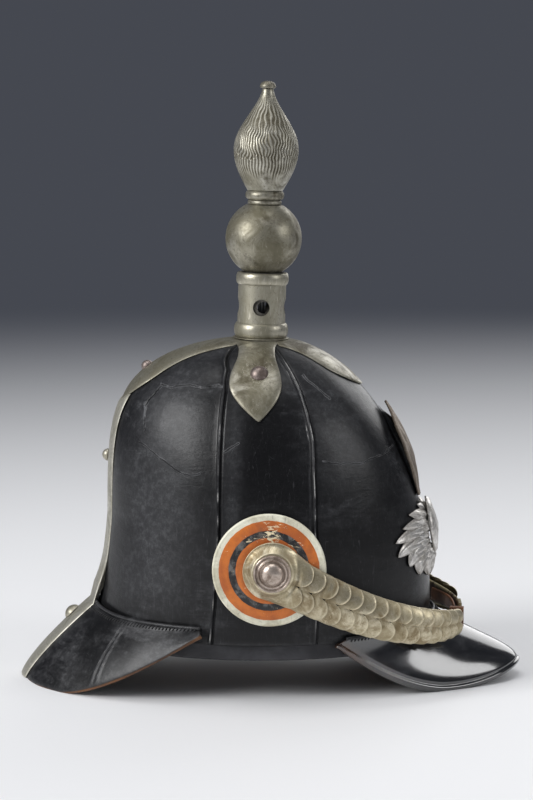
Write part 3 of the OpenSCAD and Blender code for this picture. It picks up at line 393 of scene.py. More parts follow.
def makeMetal(name, look, size=1.0, streaks=(1, 1, 1), pits=0.5, dents=0.4, scratches=0.5):
    # Old metal: cloudy tarnish; darker where shade is painted, which is tarnish in hollows and painted shade under
    # and between parts; brighter where wear is painted, which is worn edges and in places painted highlights and
    # sheen; bright hair scratches, pits and soft dents
    made, tree, shader = startMaterial(name)
    here = objectPlace(tree)
    drawn = stretched(tree, here, streaks)
    cloud = noise(tree, drawn, 46 * size, 9, 0.7, 0.6)
    stain = noise(tree, drawn, 19 * size, 6, 0.65, 0.5)
    speck = noise(tree, here, 430 * size, 5, 0.75)
    colour = blendColour(tree, span(tree, cloud, 0.38, 0.62), look["dark"], look["light"])
    colour = tint(tree, colour, span(tree, stain, 0.42, 0.58), 0.62, look["green"])
    spots = span(tree, calc(tree, "ADD", speck, times(tree, cloud, 0.25)), 0.68, 0.78)
    colour = tint(tree, colour, spots, 0.6, look["dark"])
    fine = larger(tree, hairlines(tree, here, 330 * size, 0.02, 1.3, (0.1, 0.05, 0)),
                  hairlines(tree, here, 260 * size, 0.012, 4.9, (0.3, 1.2, 0.4)))
    colour = tint(tree, colour, painted(tree, "shade"), 0.85, look["dark"], True)
    bright = larger(tree, times(tree, fine, scratches), times(tree, painted(tree, "wearAndSheen"), 0.6), True)
    colour = blendColour(tree, bright, colour, tuple(min(1, k * 1.25) for k in look["light"]))
    rough = calc(tree, "ADD", span(tree, cloud, 0.36, 0.64, look["rough"] + 0.16, look["rough"] - 0.04),
                 times(tree, painted(tree, "shade"), 0.15))
    normal = bumped(tree, speck, 0.25 * pits, 0.25)
    normal = bumped(tree, noise(tree, here, 120 * size, 5, 0.6), 0.3 * pits, 0.5, normal)
    normal = bumped(tree, noise(tree, here, 30 * size, 3, 0.5), 0.5 * dents, 2.2, normal)
    feed(tree, shader, Base_Color=colour, Roughness=rough, Normal=normal, Metallic=look.get("metallic", 0.9))
    return made


def makeHide(name, light, dark, rough=0.62, raw=None):
    # Plain leather: pores, darker sweat stains, lighter rubbed spots; "shade" is darker, or the raw edge if given
    made, tree, shader = startMaterial(name)
    here = objectPlace(tree)
    cloud = noise(tree, here, 34, 7, 0.64, 0.5)
    grain = noise(tree, here, 420, 4, 0.6)
    colour = blendColour(tree, span(tree, cloud, 0.35, 0.66), dark, light)
    colour = tint(tree, colour, span(tree, grain, 0.5, 0.7), 0.3, dark)
    edge = painted(tree, "shade")
    if raw:
        edge = times(tree, edge, span(tree, noise(tree, here, 160, 5, 0.7), 0.4, 0.52))
    colour = tint(tree, colour, edge, 0.85, raw or dark, True)
    dull = span(tree, cloud, 0.3, 0.7, rough + 0.1, rough - 0.1)
    normal = bumped(tree, grain, 0.4, 0.4)
    feed(tree, shader, Base_Color=colour, Roughness=dull, Normal=bumped(tree, cloud, 0.4, 1.2, normal))
    return made


blackLeather = makeLeather("blackLeather", leatherSet, creases)
# The guard's grey and dust colours are lighter, for the painted sheen on its corners
guardLeather = makeLeather("guardLeather", {**leatherSet, "worn": (0.062, 0.062, 0.066), "dustAndSheen": (0.2, 0.202, 0.21),
                                           "brown": (0.22, 0.095, 0.035), "shine": 0.28}, edgeBrown=1.0)
visorLacquer = makeLeather("visorLacquer", {**leatherSet, "gloss": 0.13, "dull": 0.24, "shine": 0.5}, coat=0.9,
                           edgeBrown=0.8, glossy=1.0)
seamThread = makeLeather("seamThread", {**leatherSet, "worn": (0.05, 0.05, 0.052), "gloss": 0.5}, coat=0.0)
nickel = makeMetal("tarnishedNickel", metalSet["nickel"])
tubeNickel = makeMetal("tubeNickel", metalSet["tube"], size=1.3, streaks=(1, 1, 0.35), scratches=0.8)
spineNickel = makeMetal("spineNickel", metalSet["spine"], size=1.3, scratches=0.3)
flameNickel = makeMetal("flameNickel", metalSet["flame"], size=1.2, pits=0.5, dents=0.2, scratches=0.2)
studSteel = makeMetal("studSteel", metalSet["steel"], size=2.2, dents=0.15)
bossSteel = makeMetal("bossSteel", metalSet["boss"], size=2.4, dents=0.15)
scaleMetal = makeMetal("scaleMetal", metalSet["scale"], size=1.7, dents=0.35)
plateSilver = makeMetal("plateSilver", metalSet["silver"], size=2.2, dents=0.2, scratches=0.3)
crestSilver = makeMetal("crestSilver", metalSet["crest"], size=1.5, pits=0.9)
buckleBrass = makeMetal("buckleBrass", metalSet["brass"], size=2)
plainSteel = makeMetal("plainSteel", metalSet["plain"], size=2)
shadedSleeveSteel = makeMetal("shadedSleeveSteel", metalSet["sleeve"], size=2)
brownHide = makeHide("brownHide", (0.3, 0.12, 0.045), (0.09, 0.035, 0.015))
strapHide = makeHide("strapHide", (0.09, 0.05, 0.03), (0.025, 0.016, 0.012), raw=(0.6, 0.52, 0.3))
bandHide = makeHide("bandHide", (0.032, 0.032, 0.037), (0.012, 0.012, 0.015), 0.5)
linerHide = makeHide("linerHide", (0.33, 0.2, 0.11), (0.15, 0.08, 0.04))
print("materials made")

# The skull's outer surface, by azimuth (0 front, 90 left, 270 right) and height

skullSet = {"axisX": -6.5, "front": 115.5, "back": 102.5, "halfWidth": 88.0, "crown": 232.5, "shoulder": 60.0,
            "rim": 38.0, "flare": 10.6, "flareTop": 115.0, "thick": 3.0, "lip": 1.2,
            "frontCurve": (2.05, 2.05), "backCurve": (1.9, 6.6), "sideCurve": (2.2, 3.3)}


def kept(z, side, top):  # share of its full reach that a wall keeps at height z: a superellipse's two powers
    rise = held((z - skullSet["shoulder"]) / (skullSet["crown"] - skullSet["shoulder"]))
    return np.power(held(1 - rise ** top), 1 / side)


def frontReach(z):
    return skullSet["front"] * kept(z, *skullSet["frontCurve"])


def sideReach(z):
    return skullSet["halfWidth"] * kept(z, *skullSet["sideCurve"])


def backReach(z):  # how far the back lies behind the axis, with its flare towards the rim
    s = skullSet
    flare = np.maximum(s["flareTop"] - z, 0) / (s["flareTop"] - s["rim"])
    return s["back"] * kept(z, *s["backCurve"]) + s["flare"] * flare ** 1.3


def wall(a, z):
    turn = np.radians(a)
    reach = np.where(np.cos(turn) > 0, frontReach(z), backReach(z))
    x = skullSet["axisX"] + reach * np.cos(turn)
    return np.stack(np.broadcast_arrays(x, sideReach(z) * np.sin(turn), z), -1)


def wallNormal(a, z):
    low = z - 0.3 * np.minimum(1, np.maximum(skullSet["crown"] - z, 1e-3))
    return unit(np.cross(wall(a + 1, z) - wall(a - 1, z), wall(a, z) - wall(a, low)))


def skin(a, z, off):  # the wall's point at (a, z), moved out along its normal by off
    a, z, off = np.broadcast_arrays(np.asarray(a, float), np.asarray(z, float), np.asarray(off, float))
    return wall(a, z) + off[..., None] * wallNormal(a, z)


def climbHeight(angle):  # heights spaced evenly along the wall: angle 0 is the shoulder, 90 the crown
    s = skullSet
    rise = np.where(angle < 0, np.radians(angle), np.sin(np.radians(np.maximum(angle, 0))))
    return s["shoulder"] + (s["crown"] - s["shoulder"]) * rise


def climbAngle(z):  # the reverse of climbHeight
    rise = (z - skullSet["shoulder"]) / (skullSet["crown"] - skullSet["shoulder"])
    return np.where(rise < 0, np.degrees(rise), np.degrees(np.arcsin(held(rise))))


def besideAngle(a, z, side):  # azimuth at the distance side, along the wall, from the azimuth a
    return a + 2 * side / np.maximum(np.linalg.norm(wall(a + 1, z) - wall(a - 1, z), axis=-1), 0.02)


# Skull: four panels of black leather between raised ribs

ribSet = {"heights": (38, 115, 150, 173, 190, 204, 216, 225, 232),
          "rear": (254, 255.6, 255.6, 255.5, 255.3, 254.9, 252.5, 245, 238),
          "front": (289, 289.8, 291.5, 293.8, 294.2, 294.5, 293.5, 292.2, 291),
          "fold": 0.95, "groove": 1.25, "quilt": 0.5, "crowd": 0.94}

# Bumps across a rib as (height, place, width): folds and grooves of its relief, and lines painted bright along it,
# which are painted highlights and partly wear
ribShapes = {"rear": {"fold": ((1, -1.1, 0.72), (0.18, -2.5, 1.3)), "groove": ((1, 0.35, 0.6),),
                      "line": ((0.9, -0.75, 0.42),)},
             "front": {"fold": ((0.75, -0.2, 0.62), (0.3, -2.7, 0.45)),
                       "groove": ((0.7, 0.95, 0.55), (0.3, -1.6, 0.5)),
                       "line": ((1.1, -0.15, 0.42), (0.85, -2.7, 0.32))}}

# Patches of grey haze with painted sheen, and patches painted as shade where the lacquer is kept dark: strength,
# degrees from the back, width, and heights where they fade in and out. The narrow haze patch beside each rear rib is
# a painted highlight
everyLow, everyHigh = (0, 1), (250, 240)
skullPatches = {"hazeAndSheen": ((0.56, 46, 18, (45, 80), everyHigh), (0.4, 128, 20, (110, 170), everyHigh),
                         (0.34, 80.5, 3.2, (92, 125), (214, 190))),
                "clean": ((0.75, 92, 17, everyLow, everyHigh), (0.6, 15, 14, everyLow, everyHigh),
                          (0.6, 140, 25, everyLow, (130, 95)))}
hazeAndSheenMost = 0.54  # haze and sheen painted stronger than this would show as bare spots


def ribAngle(which, z):  # azimuths of a rib on the right and on the left side
    right = np.interp(z, ribSet["heights"], ribSet[which])
    return right, 360 - right


def skullColumns(heights):
    # Azimuths of the columns at each height: the spaces between ribs, with columns that crowd towards each rib
    rearRight, rearLeft = ribAngle("rear", heights)
    frontRight, frontLeft = ribAngle("front", heights)
    marks = [0 * heights, frontLeft, rearLeft, 0 * heights + 180, rearRight, frontRight, 0 * heights + 360]
    crowd, columns = ribSet["crowd"], []
    for k, (count, low, high) in enumerate(((62, 0, 1), (46, 1, 1), (62, 1, 0)) * 2):
        s = np.arange(count) / count
        if low and high:
            s = s - crowd / (2 * math.pi) * np.sin(2 * math.pi * s)
        else:
            s = s + (1 if high else -1) * crowd / math.pi * np.sin(math.pi * s)
        columns.append(mix(marks[k][:, None], marks[k + 1][:, None], s[None, :]))
    return np.concatenate(columns, 1)


def ribRelief(a, z):
    # Rear ribs: a raised fold with a sharp groove before it. Front ribs: a narrow ridge and a second, thinner line
    relief, ridge = 0, 0
    reach = np.linalg.norm(wall(a, z)[..., :2] - [skullSet["axisX"], 0], axis=-1)
    fade = smooth(232, 226, z)
    for which, shapes in ribShapes.items():
        for side, sign in ((0, 1), (1, -1)):
            off = np.radians(a - ribAngle(which, z)[side]) * reach * sign
            fold, groove, line = (sum(high * bell(off - place, width) for high, place, width in shapes[key])
                                  for key in ("fold", "groove", "line"))
            relief = relief + fade * (ribSet["fold"] * fold - ribSet["groove"] * groove)
            # Painted highlight lines along the ribs, partly wear
            ridge = ridge + fade * line
    return relief, ridge


def patched(kind, away, z):
    return sum(strength * bell(away - place, width) * smooth(*low, z) * smooth(*high, z)
               for strength, place, width, low, high in skullPatches[kind])


def makeSkull():
    s = skullSet
    out = np.concatenate([[89.7, 88.6], np.linspace(87, climbAngle(s["rim"] + s["lip"]), 168)])
    heights = climbHeight(out)
    a = skullColumns(heights)
    z = np.broadcast_to(heights[:, None], a.shape)
    relief, ridge = ribRelief(a, z)
    outer = skin(a, z, relief + ribSet["quilt"] * ripple(wall(a, z), 55, 3) * smooth(232, 215, z))
    lip = [skin(a[-1], s["rim"] + s["lip"] * (1 - math.sin(t)), s["thick"] / 2 * (math.cos(t) - 1))
           for t in np.linspace(0, math.pi, 7)[1:]]
    back = np.concatenate([np.linspace(float(climbAngle(s["rim"] + s["lip"])), 86, 44), [88.5, 89.6]])
    inner = skin(a[-1][None, :], climbHeight(back)[:, None], -s["thick"])
    points = np.concatenate([outer, np.stack(lip), inner])
    points[0] = [s["axisX"], 0, s["crown"]]
    points[-1] = [s["axisX"], 0, s["crown"] - s["thick"]]
    wearAndSheen = np.zeros(points.shape[:2])
    # The ribs' bright lines: painted highlights, partly wear, broken up a little
    ridge = ridge * (0.8 + 0.5 * ripple(outer, 14, 8))
    away = np.abs(a - 180)  # both sides alike: 0 at the back, 180 at the front
    # Grey haze with painted sheen in broad patches, and a painted highlight strip beside each rear rib
    hazeAndSheen = patched("hazeAndSheen", away, z) * (0.85 + 0.3 * ripple(outer, 34, 11))
    rimWear = 0.3 * smooth(42, 38.5, z)
    wearAndSheen[:len(outer)] = np.maximum(np.maximum(ridge, np.clip(hazeAndSheen, 0, hazeAndSheenMost)), rimWear)
    # Patches painted as shade: the rubbed haze is kept off them, so the lacquer shows darker there
    clean = 0 * wearAndSheen
    clean[:len(outer)] = patched("clean", away, z)
    addPiece("skullShell", [{"points": points, "wrap": "c", "wearAndSheen": held(wearAndSheen), "shade": held(clean)}],
             blackLeather, "helmet", ["skull"])


makeSkull()
print("skull made")

# Neck guard and visor: sheets between a seam on the skull and a free edge

guardSet = {"root": 35.0, "length": 127.8, "halfWidth": 92.5, "seam": 49.0, "rise": 4.0, "thick": 3.2, "first": 1.5,
            "creases": (37.0, 39.2, 140.8, 143.0), "creaseWidth": 0.42, "creaseLean": 4.0, "hazeAndSheen": 0.5}
visorSet = {"root": 52.0, "length": 125.3, "halfWidth": 83.0, "tip": 11.0, "seam": 47.0, "drop": 6.0, "thick": 3.0,
            "last": 86.0, "crowd": 1.35, "sink": 0.5, "belly": 0.13, "rimHigh": 1.05, "rimHalf": 2.1, "rimIn": 1.9}
gap = 0.3  # clear space between pieces
edgeRows = 4  # rows of points that round a free edge

# Azimuths between which the two seams run, from the middle of the back and of the front
guardCorner = math.degrees(math.acos(guardSet["root"] / float(backReach(guardSet["seam"]))))
visorCorner = math.degrees(math.acos(visorSet["root"] / float(frontReach(visorSet["seam"] - visorSet["drop"]))))


def guardSeam(turn):
    return 180 + guardCorner * (1 - turn / 90), guardSet["seam"] + guardSet["rise"] * np.sin(np.radians(turn)) ** 6


def visorSeam(turn):
    return visorCorner * turn / 90, visorSet["seam"] - visorSet["drop"] * np.sin(np.radians(turn)) ** 2


def between(seam, edge, across, t):  # from the seam to the free edge: heights by t, the rest by across
    points = mix(seam, edge, across[..., None])
    points[..., 2] = mix(seam[..., 2], edge[..., 2], t)
    return points


def guardAt(turn, t):
    s, axisX = guardSet, skullSet["axisX"]
    sine, cosine = np.sin(np.radians(turn)), np.cos(np.radians(turn))
    e = np.stack(np.broadcast_arrays(axisX - s["root"] - s["length"] * sine, -s["halfWidth"] * cosine,
                                     s["seam"] * held(1 - sine / 0.77) ** 1.35), -1)
    return between(skin(*guardSeam(turn), gap + s["thick"]), e, 1 - held(1 - t) ** 1.25, t)


def visorAt(turn, t):
    s, axisX = visorSet, skullSet["axisX"]
    q = held(np.cos(np.radians(turn))) ** 2.35
    edgeZ = skullSet["rim"] * held(1 - q / 0.6) ** 1.7 + s["tip"] * held((q - 0.62) / 0.38) ** 2
    e = np.stack(np.broadcast_arrays(axisX + s["root"] + s["length"] * q, s["halfWidth"] * np.sin(np.radians(turn)),
                                     edgeZ - s["sink"]), -1)
    return between(skin(*visorSeam(turn), gap + s["thick"]), e, t + s["belly"] * np.sin(math.pi * held(t) ** 2.2), t)


def sheetNormal(at, turn, t, sign):  # sign turns it upwards
    d = np.where(t > 0.5, -0.02, 0.02)
    along = (at(turn, t + d) - at(turn, t)) * np.sign(d)[..., None]
    return unit(np.cross(at(turn + 1, t) - at(turn - 1, t), along)) * sign


def rimmed(base, normal, relief, thick, foot):
    # A sheet with its relief above, a plain under face that starts at the foot, and a rounded free edge between them
    top, under = base + normal * relief[..., None], base - normal * thick
    under[0] = foot
    edge = roundEdge(top, under, edgeRows)
    points = np.concatenate([top, edge, under[::-1]])
    points[..., 2] = np.maximum(points[..., 2], 0.02)  # nothing below the ground
    return points, edge


def makeGuard():
    s = guardSet
    turns = np.linspace(s["first"], 180 - s["first"], 300)
    rows = np.concatenate([[0, 0.02, 0.05], np.linspace(0.09, 0.97, 40), [0.985]])
    turn, t = np.meshgrid(turns, rows)
    normal = sheetNormal(guardAt, turn, t, 1)
    base = guardAt(turn, t)
    crease = sum(bell(turn - mark - math.copysign(s["creaseLean"], 90 - mark) * (0.5 - t), s["creaseWidth"])
                 for mark in s["creases"]) * smooth(0.02, 0.12, t) * smooth(1.0, 0.85, t)
    welt = 0.5 * bell(t - 0.035, 0.02)
    relief = 0.35 * crease + welt + 0.25 * ripple(base, 40, 5) * smooth(0, 0.2, t)
    points, edge = rimmed(base, normal, relief, s["thick"], skin(*guardSeam(turns), gap))
    # Painted sheen near both corners of the guard, mottled like haze
    corner = bell(np.minimum(turn, 180 - turn) - 8, 26) * smooth(0.15, 0.5, t)
    hazeAndSheen = s["hazeAndSheen"] * corner * (0.85 + 0.4 * ripple(base, 26, 15))
    wearAndSheen = np.maximum(0.75 * crease + 0.3 * smooth(0.9, 1, t), np.clip(hazeAndSheen, 0, hazeAndSheenMost))
    wearAndSheen = np.concatenate([wearAndSheen, 0 * edge[..., 0], 0 * t])
    raw = 0.45 + 0.4 * ripple(edge, 12, 6)
    shade = np.concatenate([0 * t, held(raw), 0.8 * smooth(0.93, 0.97, t)[::-1]])
    addPiece("neckGuardSheet", [{"points": points, "wrap": "r", "wearAndSheen": held(wearAndSheen), "shade": shade}],
             guardLeather, "helmet", ["neck_guard"])


def makeVisor():
    s = visorSet
    turns = s["last"] * np.tanh(np.linspace(-s["crowd"], s["crowd"], 260)) / math.tanh(s["crowd"])
    rows = np.concatenate([np.linspace(0, 0.8, 30), np.linspace(0.82, 0.985, 22)])
    turn, t = np.meshgrid(turns, rows)
    normal = sheetNormal(visorAt, turn, t, -1)
    base = visorAt(turn, t)
    length = np.linalg.norm(np.diff(base, axis=0), axis=-1).sum(0)
    away = (1 - t) * length[None, :]
    share = smooth(4, 20, length)[None, :]
    roll = s["rimHigh"] * rounded((away - s["rimIn"]) / s["rimHalf"], 2)
    relief = share * (roll - 0.35 * bell(away - 5.0, 1.0))
    points, _ = rimmed(base, normal, relief, s["thick"], skin(*visorSeam(turns), gap))
    corners = smooth(45, 80, np.abs(turn))
    shade = corners * smooth(12, 3, away) * (0.5 + 0.5 * ripple(base, 9, 4))
    shade = np.concatenate([shade, 0.6 * corners[:edgeRows], 0.4 * corners])
    addPiece("visorSheet", [{"points": points, "wrap": "r", "shade": held(shade)}], visorLacquer,
             "helmet", ["front_visor"])


makeGuard()
makeVisor()

# Seams: whip stitches over a narrow welt, along the guard and along the visor

stitchSet = {"pitch": 2.6, "length": 3.6, "radius": 0.46, "lean": 0.9, "sides": 8, "rings": 9, "free": 8.5,
             "welt": 1.15}


def pathSpaced(path, pitch):  # points, and their directions, spaced evenly along a fine path
    steps = np.linalg.norm(np.diff(path, axis=0), axis=1)
    run = np.concatenate([[0], np.cumsum(steps)])
    at = np.arange(pitch / 2, run[-1], pitch)
    spots = np.stack([np.interp(at, run, path[:, k]) for k in range(3)], 1)
    ahead = np.stack([np.interp(at + 0.5, run, path[:, k]) for k in range(3)], 1)
    return spots, unit(ahead - spots)


def tubeAlong(path, radius, sides, hint=(0.0, 0.0, 1.0)):
    # A round tube: rings of the given radius across a path
    path = np.asarray(path, float)
    ahead = unit(np.gradient(path, axis=0))
    side = unit(np.cross(ahead, hint))
    up = np.cross(side, ahead)
    angle = circle(sides)[None, :, None]
    radius = np.broadcast_to(radius, (len(path),))[:, None, None]
    return path[:, None] + radius * (np.cos(angle) * side[:, None] + np.sin(angle) * up[:, None])


def stitchRow(path, normals):
    # Each stitch is a short arc over the seam, drawn across it and leaning along it
    s = stitchSet
    spots, ahead = pathSpaced(path, s["pitch"])
    run = evenly(len(path))
    out = unit(np.stack([np.interp(evenly(len(spots)), run, normals[:, k]) for k in range(3)], 1))
    over = unit(np.cross(out, ahead))
    t = np.linspace(-1, 1, s["rings"])
    size = s["radius"] * rounded(t, 4)
    sheets = []
    for spot, way, lift, side in zip(spots, ahead, out, over):
        arc = (spot + np.outer(t * s["length"] / 2, side) + np.outer(t * s["lean"], way)
               + np.outer(0.75 * (1 - t * t) - 0.25, lift))
        sheets.append({"points": tubeAlong(arc, size, s["sides"], lift), "wrap": "c", "wearAndSheen": 0.3})
    return sheets


def makeSeams():
    s, first, last = stitchSet, guardSet["first"], visorSet["last"]
    turns = np.linspace(first + 1, 179 - first, 400)
    t = np.full_like(turns, 0.045)
    path, normals = guardAt(turns, t), sheetNormal(guardAt, turns, t, 1)
    sheets = []
    for part in (turns < 90 - s["free"], turns > 90 + s["free"]):  # none under the spine
        sheets += stitchRow(path[part], normals[part])
    turns = np.linspace(-84, 84, 400)
    t = np.full_like(turns, 0.03)
    sheets += stitchRow(visorAt(turns, t), sheetNormal(visorAt, turns, t, -1))
    addPiece("seamStitches", sheets, seamThread, "helmet")
    welts = []
    for at, sign, turns in ((guardAt, 1, np.linspace(first, 180 - first, 200)),
                            (visorAt, -1, np.linspace(-last, last, 200))):
        t = np.zeros_like(turns)
        path = at(turns, t) - sheetNormal(at, turns, t, sign) * 0.2 + [0, 0, 0.7]
        welts.append({"points": tubeAlong(path, s["welt"], 10), "wrap": "c", "wearAndSheen": 0.35})
    addPiece("seamWelts", welts, guardLeather, "helmet")


makeSeams()
print("visor, guard and seams made")

# Leaf-armed cross: four pointed arms that meet in a disc under the vent tube

crossSet = {"thick": 1.2, "disc": 19.0, "hole": 3.0, "edge": 0.4, "waistShare": 0.25, "tipShare": 0.66,
            "side": {"first": 83, "neck": 12.3, "wide": 17.4, "tip": 185.0, "blunt": 0.9},
            "front": {"first": 84, "neck": 25.5, "wide": 28.5, "tip": 201.0, "blunt": 0.65},
            "rear": {"first": 84, "neck": 25.5, "wide": 28.5, "tip": 189.5, "blunt": 0.65}}


def leaf(t, arm):  # half-width: a neck that flares at the middle disc, a wide waist and a pointed tip
    edge, low, high = crossSet["edge"], crossSet["waistShare"], crossSet["tipShare"]
    waist = mix(arm["neck"], arm["wide"], 0.5 - 0.5 * np.cos(math.pi * held((t - low) / (high - low))))
    tip = held(np.cos(quarter * held((t - high) / (1 - high)))) ** arm["blunt"]
    return np.where(t < high, waist, edge + (arm["wide"] - edge) * tip) + 5.5 * held(1 - t / 0.2) ** 2


def makeArm(a, arm):
    tt, cc = grid(1 - (1 - evenly(72)) ** 1.25, crowded(33))
    z = climbHeight(mix(arm["first"], float(climbAngle(arm["tip"])), tt))
    angle = besideAngle(a, z, np.minimum(leaf(tt, arm), sideReach(z)) * cc)
    rolled = crossSet["thick"] * rounded(cc, 7)  # rounded long edges
    dome = 0.55 * (1 - cc ** 2) * smooth(0, 0.3, tt) * smooth(1.0, 0.8, tt)
    wearAndSheen = 0.4 * held(np.abs(cc) ** 6 + smooth(0.93, 1, tt))
    return shell(skin(angle, z, gap + rolled * 0.98 + dome), skin(angle, z, gap), wearAndSheen, back=0.6)


def turnedAt(origin, axis, profile, count=96, shade=0.0):
    # A turned surface: the profile's (radius, height) carried round the axis from the origin, with a shade per point
    axis = unit(np.asarray(axis, float))
    hint = np.array([0.0, 1.0, 0.0]) if abs(axis[1]) < 0.9 else np.array([0.0, 0.0, 1.0])
    side = unit(np.cross(hint, axis))
    front = np.cross(axis, side)
    angle = circle(count)
    profile = np.asarray(profile, float)
    ring = np.cos(angle)[:, None] * side + np.sin(angle)[:, None] * front
    points = np.asarray(origin, float) + profile[:, 0, None, None] * ring + profile[:, 1, None, None] * axis
    return {"points": points, "wrap": "c", "shade": np.reshape(shade, (-1, 1))}


lean = math.radians(1.65)
finialAxis = np.array([math.sin(lean), 0, math.cos(lean)])
finialFoot = np.array([skullSet["axisX"], 0, skullSet["crown"]])


def makeCross():
    c = crossSet
    sheets = [makeArm(a, c[arm]) for a, arm in ((0, "front"), (90, "side"), (270, "side"), (180, "rear"))]
    r, hole = c["disc"], c["hole"]
    disc = [(hole, 0.1), (hole, 1.0), (10, 1.0), (r - 0.6, 0.95), (r - 0.1, 0.7), (r, 0.45), (r - 0.3, 0.1),
            (hole, 0.1)]
    # The disc is painted dark as shade at its hole and under face, where the tube and the skull cover it
    sheets.append(turnedAt(finialFoot, finialAxis, disc, 128, [0.6, 0.6, 0.5, 0, 0, 0, 0.5, 0.6]))
    addPiece("leafCross", sheets, nickel, "helmet", ["cross_mount"])


makeCross()

# Back spine: a ribbed strip down the back that crosses the guard and hooks over its edge

spineSet = {"halfWidth": 18.0, "thick": 2.3, "bend": 64.0, "clear": 0.8, "ramp": 30.0, "spread": (1.55, 1.22)}


def makeSpine():
    s, arm, edge = spineSet, crossSet["rear"], crossSet["edge"]
    across = crowded(33)
    side = s["halfWidth"] * across
    lift = gap + s["thick"] * (1 - 0.62 * across ** 2) * rounded(across, 14)
    # Its top follows the outline of the rear arm's tip, a little below it
    share = (np.maximum(np.abs(side), edge) - edge) / (arm["wide"] - edge)
    cut = mix(arm["first"], float(climbAngle(arm["tip"])),
              mix(crossSet["tipShare"], 1, np.arccos(share ** (1 / arm["blunt"])) / quarter))
    z = mix((climbHeight(cut) - s["clear"])[None, :], s["bend"], evenly(76)[:, None])
    angle = 180 - np.degrees(np.arcsin(side[None, :] / sideReach(z)))
    climb = (gap + guardSet["thick"]) * held(1 - (z - s["bend"]) / s["ramp"]) ** 2.2
    shares = np.concatenate([np.linspace(0.03, 0.96, 46), [0.98, 1.0]])
    scale = math.degrees(1 / np.linalg.norm([skullSet["axisX"] - guardSet["root"], guardSet["halfWidth"],
                                             guardSet["seam"]]))
    turn = 90 + side[None, :] * scale * mix(*s["spread"], shares)[:, None]
    t = np.broadcast_to(shares[:, None], turn.shape)
    normal = sheetNormal(guardAt, turn, t, 1)

    def face(off, climbs):  # the upper face climbs onto the guard, the under face stays on the skull
        onGuard = guardAt(turn, t) + normal * np.broadcast_to(off, turn.shape)[..., None]
        points = np.concatenate([skin(angle, z, off + climbs * climb), onGuard])
        points[..., 2] = np.maximum(points[..., 2], 0.05)
        return points
    # The strip's top, under the rear arm's tip, and its under face are painted dark as shade; the whole strip is
    # painted lighter by its wear paint, a painted sheen, and its long edges a little more as wear
    shade = np.concatenate([bell(np.arange(len(z)), 2.5)[:, None] + 0 * z, 0 * t])
    sheet = shell(face(lift[None, :], 1), face(gap, 0), 0.35 + 0.1 * np.abs(across) ** 6, shade, 1.0)
    addPiece("backSpineStrip", [sheet], spineNickel, "helmet", ["back_spine"])


makeSpine()

# Domed studs

studSet = {"r": 6.0, "small": 4.2, "h": 4.0, "shank": 1.8, "inner": 3.5, "sideShare": 0.6, "rearShare": 0.52,
           "upper": 152.0, "tail": 0.24, "upperDeep": 6.5, "tailDeep": 6.7}


def studProfile(r, h, seat, depth):
    dome = (r * r + h * h) / (2 * h)
    rise = evenly(12)
    angle = rise * math.asin(min(1, r / dome))
    cap = [(dome * math.sin(a), seat + h - dome + dome * math.cos(a)) for a in angle]
    shank = studSet["shank"]
    return cap + [(r, seat - 0.02), (shank, seat - 0.05), (shank, seat - depth), (0, seat - depth)]


def wallFrame(a, z):
    a, z = np.array(float(a)), np.array(float(z))
    return wall(a, z), wallNormal(a, z)


def makeStuds():
    s, sheets = studSet, []
    seat = 2 * gap + crossSet["thick"]
    depth = seat + skullSet["thick"] + s["inner"]
    for a, arm, share, r in ((90, "side", s["sideShare"], s["r"]), (270, "side", s["sideShare"], s["r"]),
                             (180, "rear", s["rearShare"], s["small"])):
        place = wallFrame(a, mix(crossSet[arm]["tip"], skullSet["crown"], share))
        sheets.append(turnedAt(*place, studProfile(r, s["h"], seat, depth), 48))
    addPiece("armStuds", sheets, studSteel, "helmet", ["arm_studs"])
    seat = 2 * gap + spineSet["thick"]
    turn, t = np.array(90.0), np.array(s["tail"])
    upper, tail = wallFrame(180, s["upper"]), (guardAt(turn, t), sheetNormal(guardAt, turn, t, 1))
    sheets = [turnedAt(*place, studProfile(r, s["h"], seat, seat + deep), 48)
              for place, r, deep in ((upper, s["small"], s["upperDeep"]), (tail, s["r"], s["tailDeep"]))]
    addPiece("spineStuds", sheets, tubeNickel, "helmet", ["spine_studs"])


makeStuds()
print("cross, spine and studs made")

# Finial on its leaning axis: vent tube, sleeve, ball, double-beaded collar, flame and cap

finialSet = {"base": 0.9, "tubeR": 16.2, "wall": 1.5, "low": 10.0, "plain": 25.9, "top": 8.1, "bead": 1.9,
             "vent": 5.6, "ventShare": 0.43, "vents": 4, "sleeve": 1.2, "sleeveVent": 4.0, "shift": 5.4,
             "ball": 25.8, "flat": 12.3, "collar": 13.1, "collarH": 9.7, "collarShare": 0.35, "flameR": 21.9,
             "flameH": 68.0, "tipR": 3.9, "cap": 5.4, "capH": 5.0, "capBrim": 0.26, "rod": 2.55}
f = finialSet
beadTop = f["base"] + f["low"] + f["plain"] + f["top"]
ballBase = beadTop + gap
ballHalf = math.sqrt(f["ball"] ** 2 - f["flat"] ** 2)
collarBase = ballBase + 2 * ballHalf
flameBase = collarBase + f["collarH"]
capBase = flameBase + f["flameH"] + gap
ventZ = f["base"] + f["low"] + f["plain"] * f["ventShare"]


sharpAngle = math.radians(38)


def bead(r, out, low, high):  # outline of a half-round bead on a wall of radius r
    s = -np.cos(np.linspace(0, math.pi, 17))
    return [(r + out * math.sqrt(max(0, 1 - k * k)), mix(low, high, (k + 1) / 2)) for k in s]


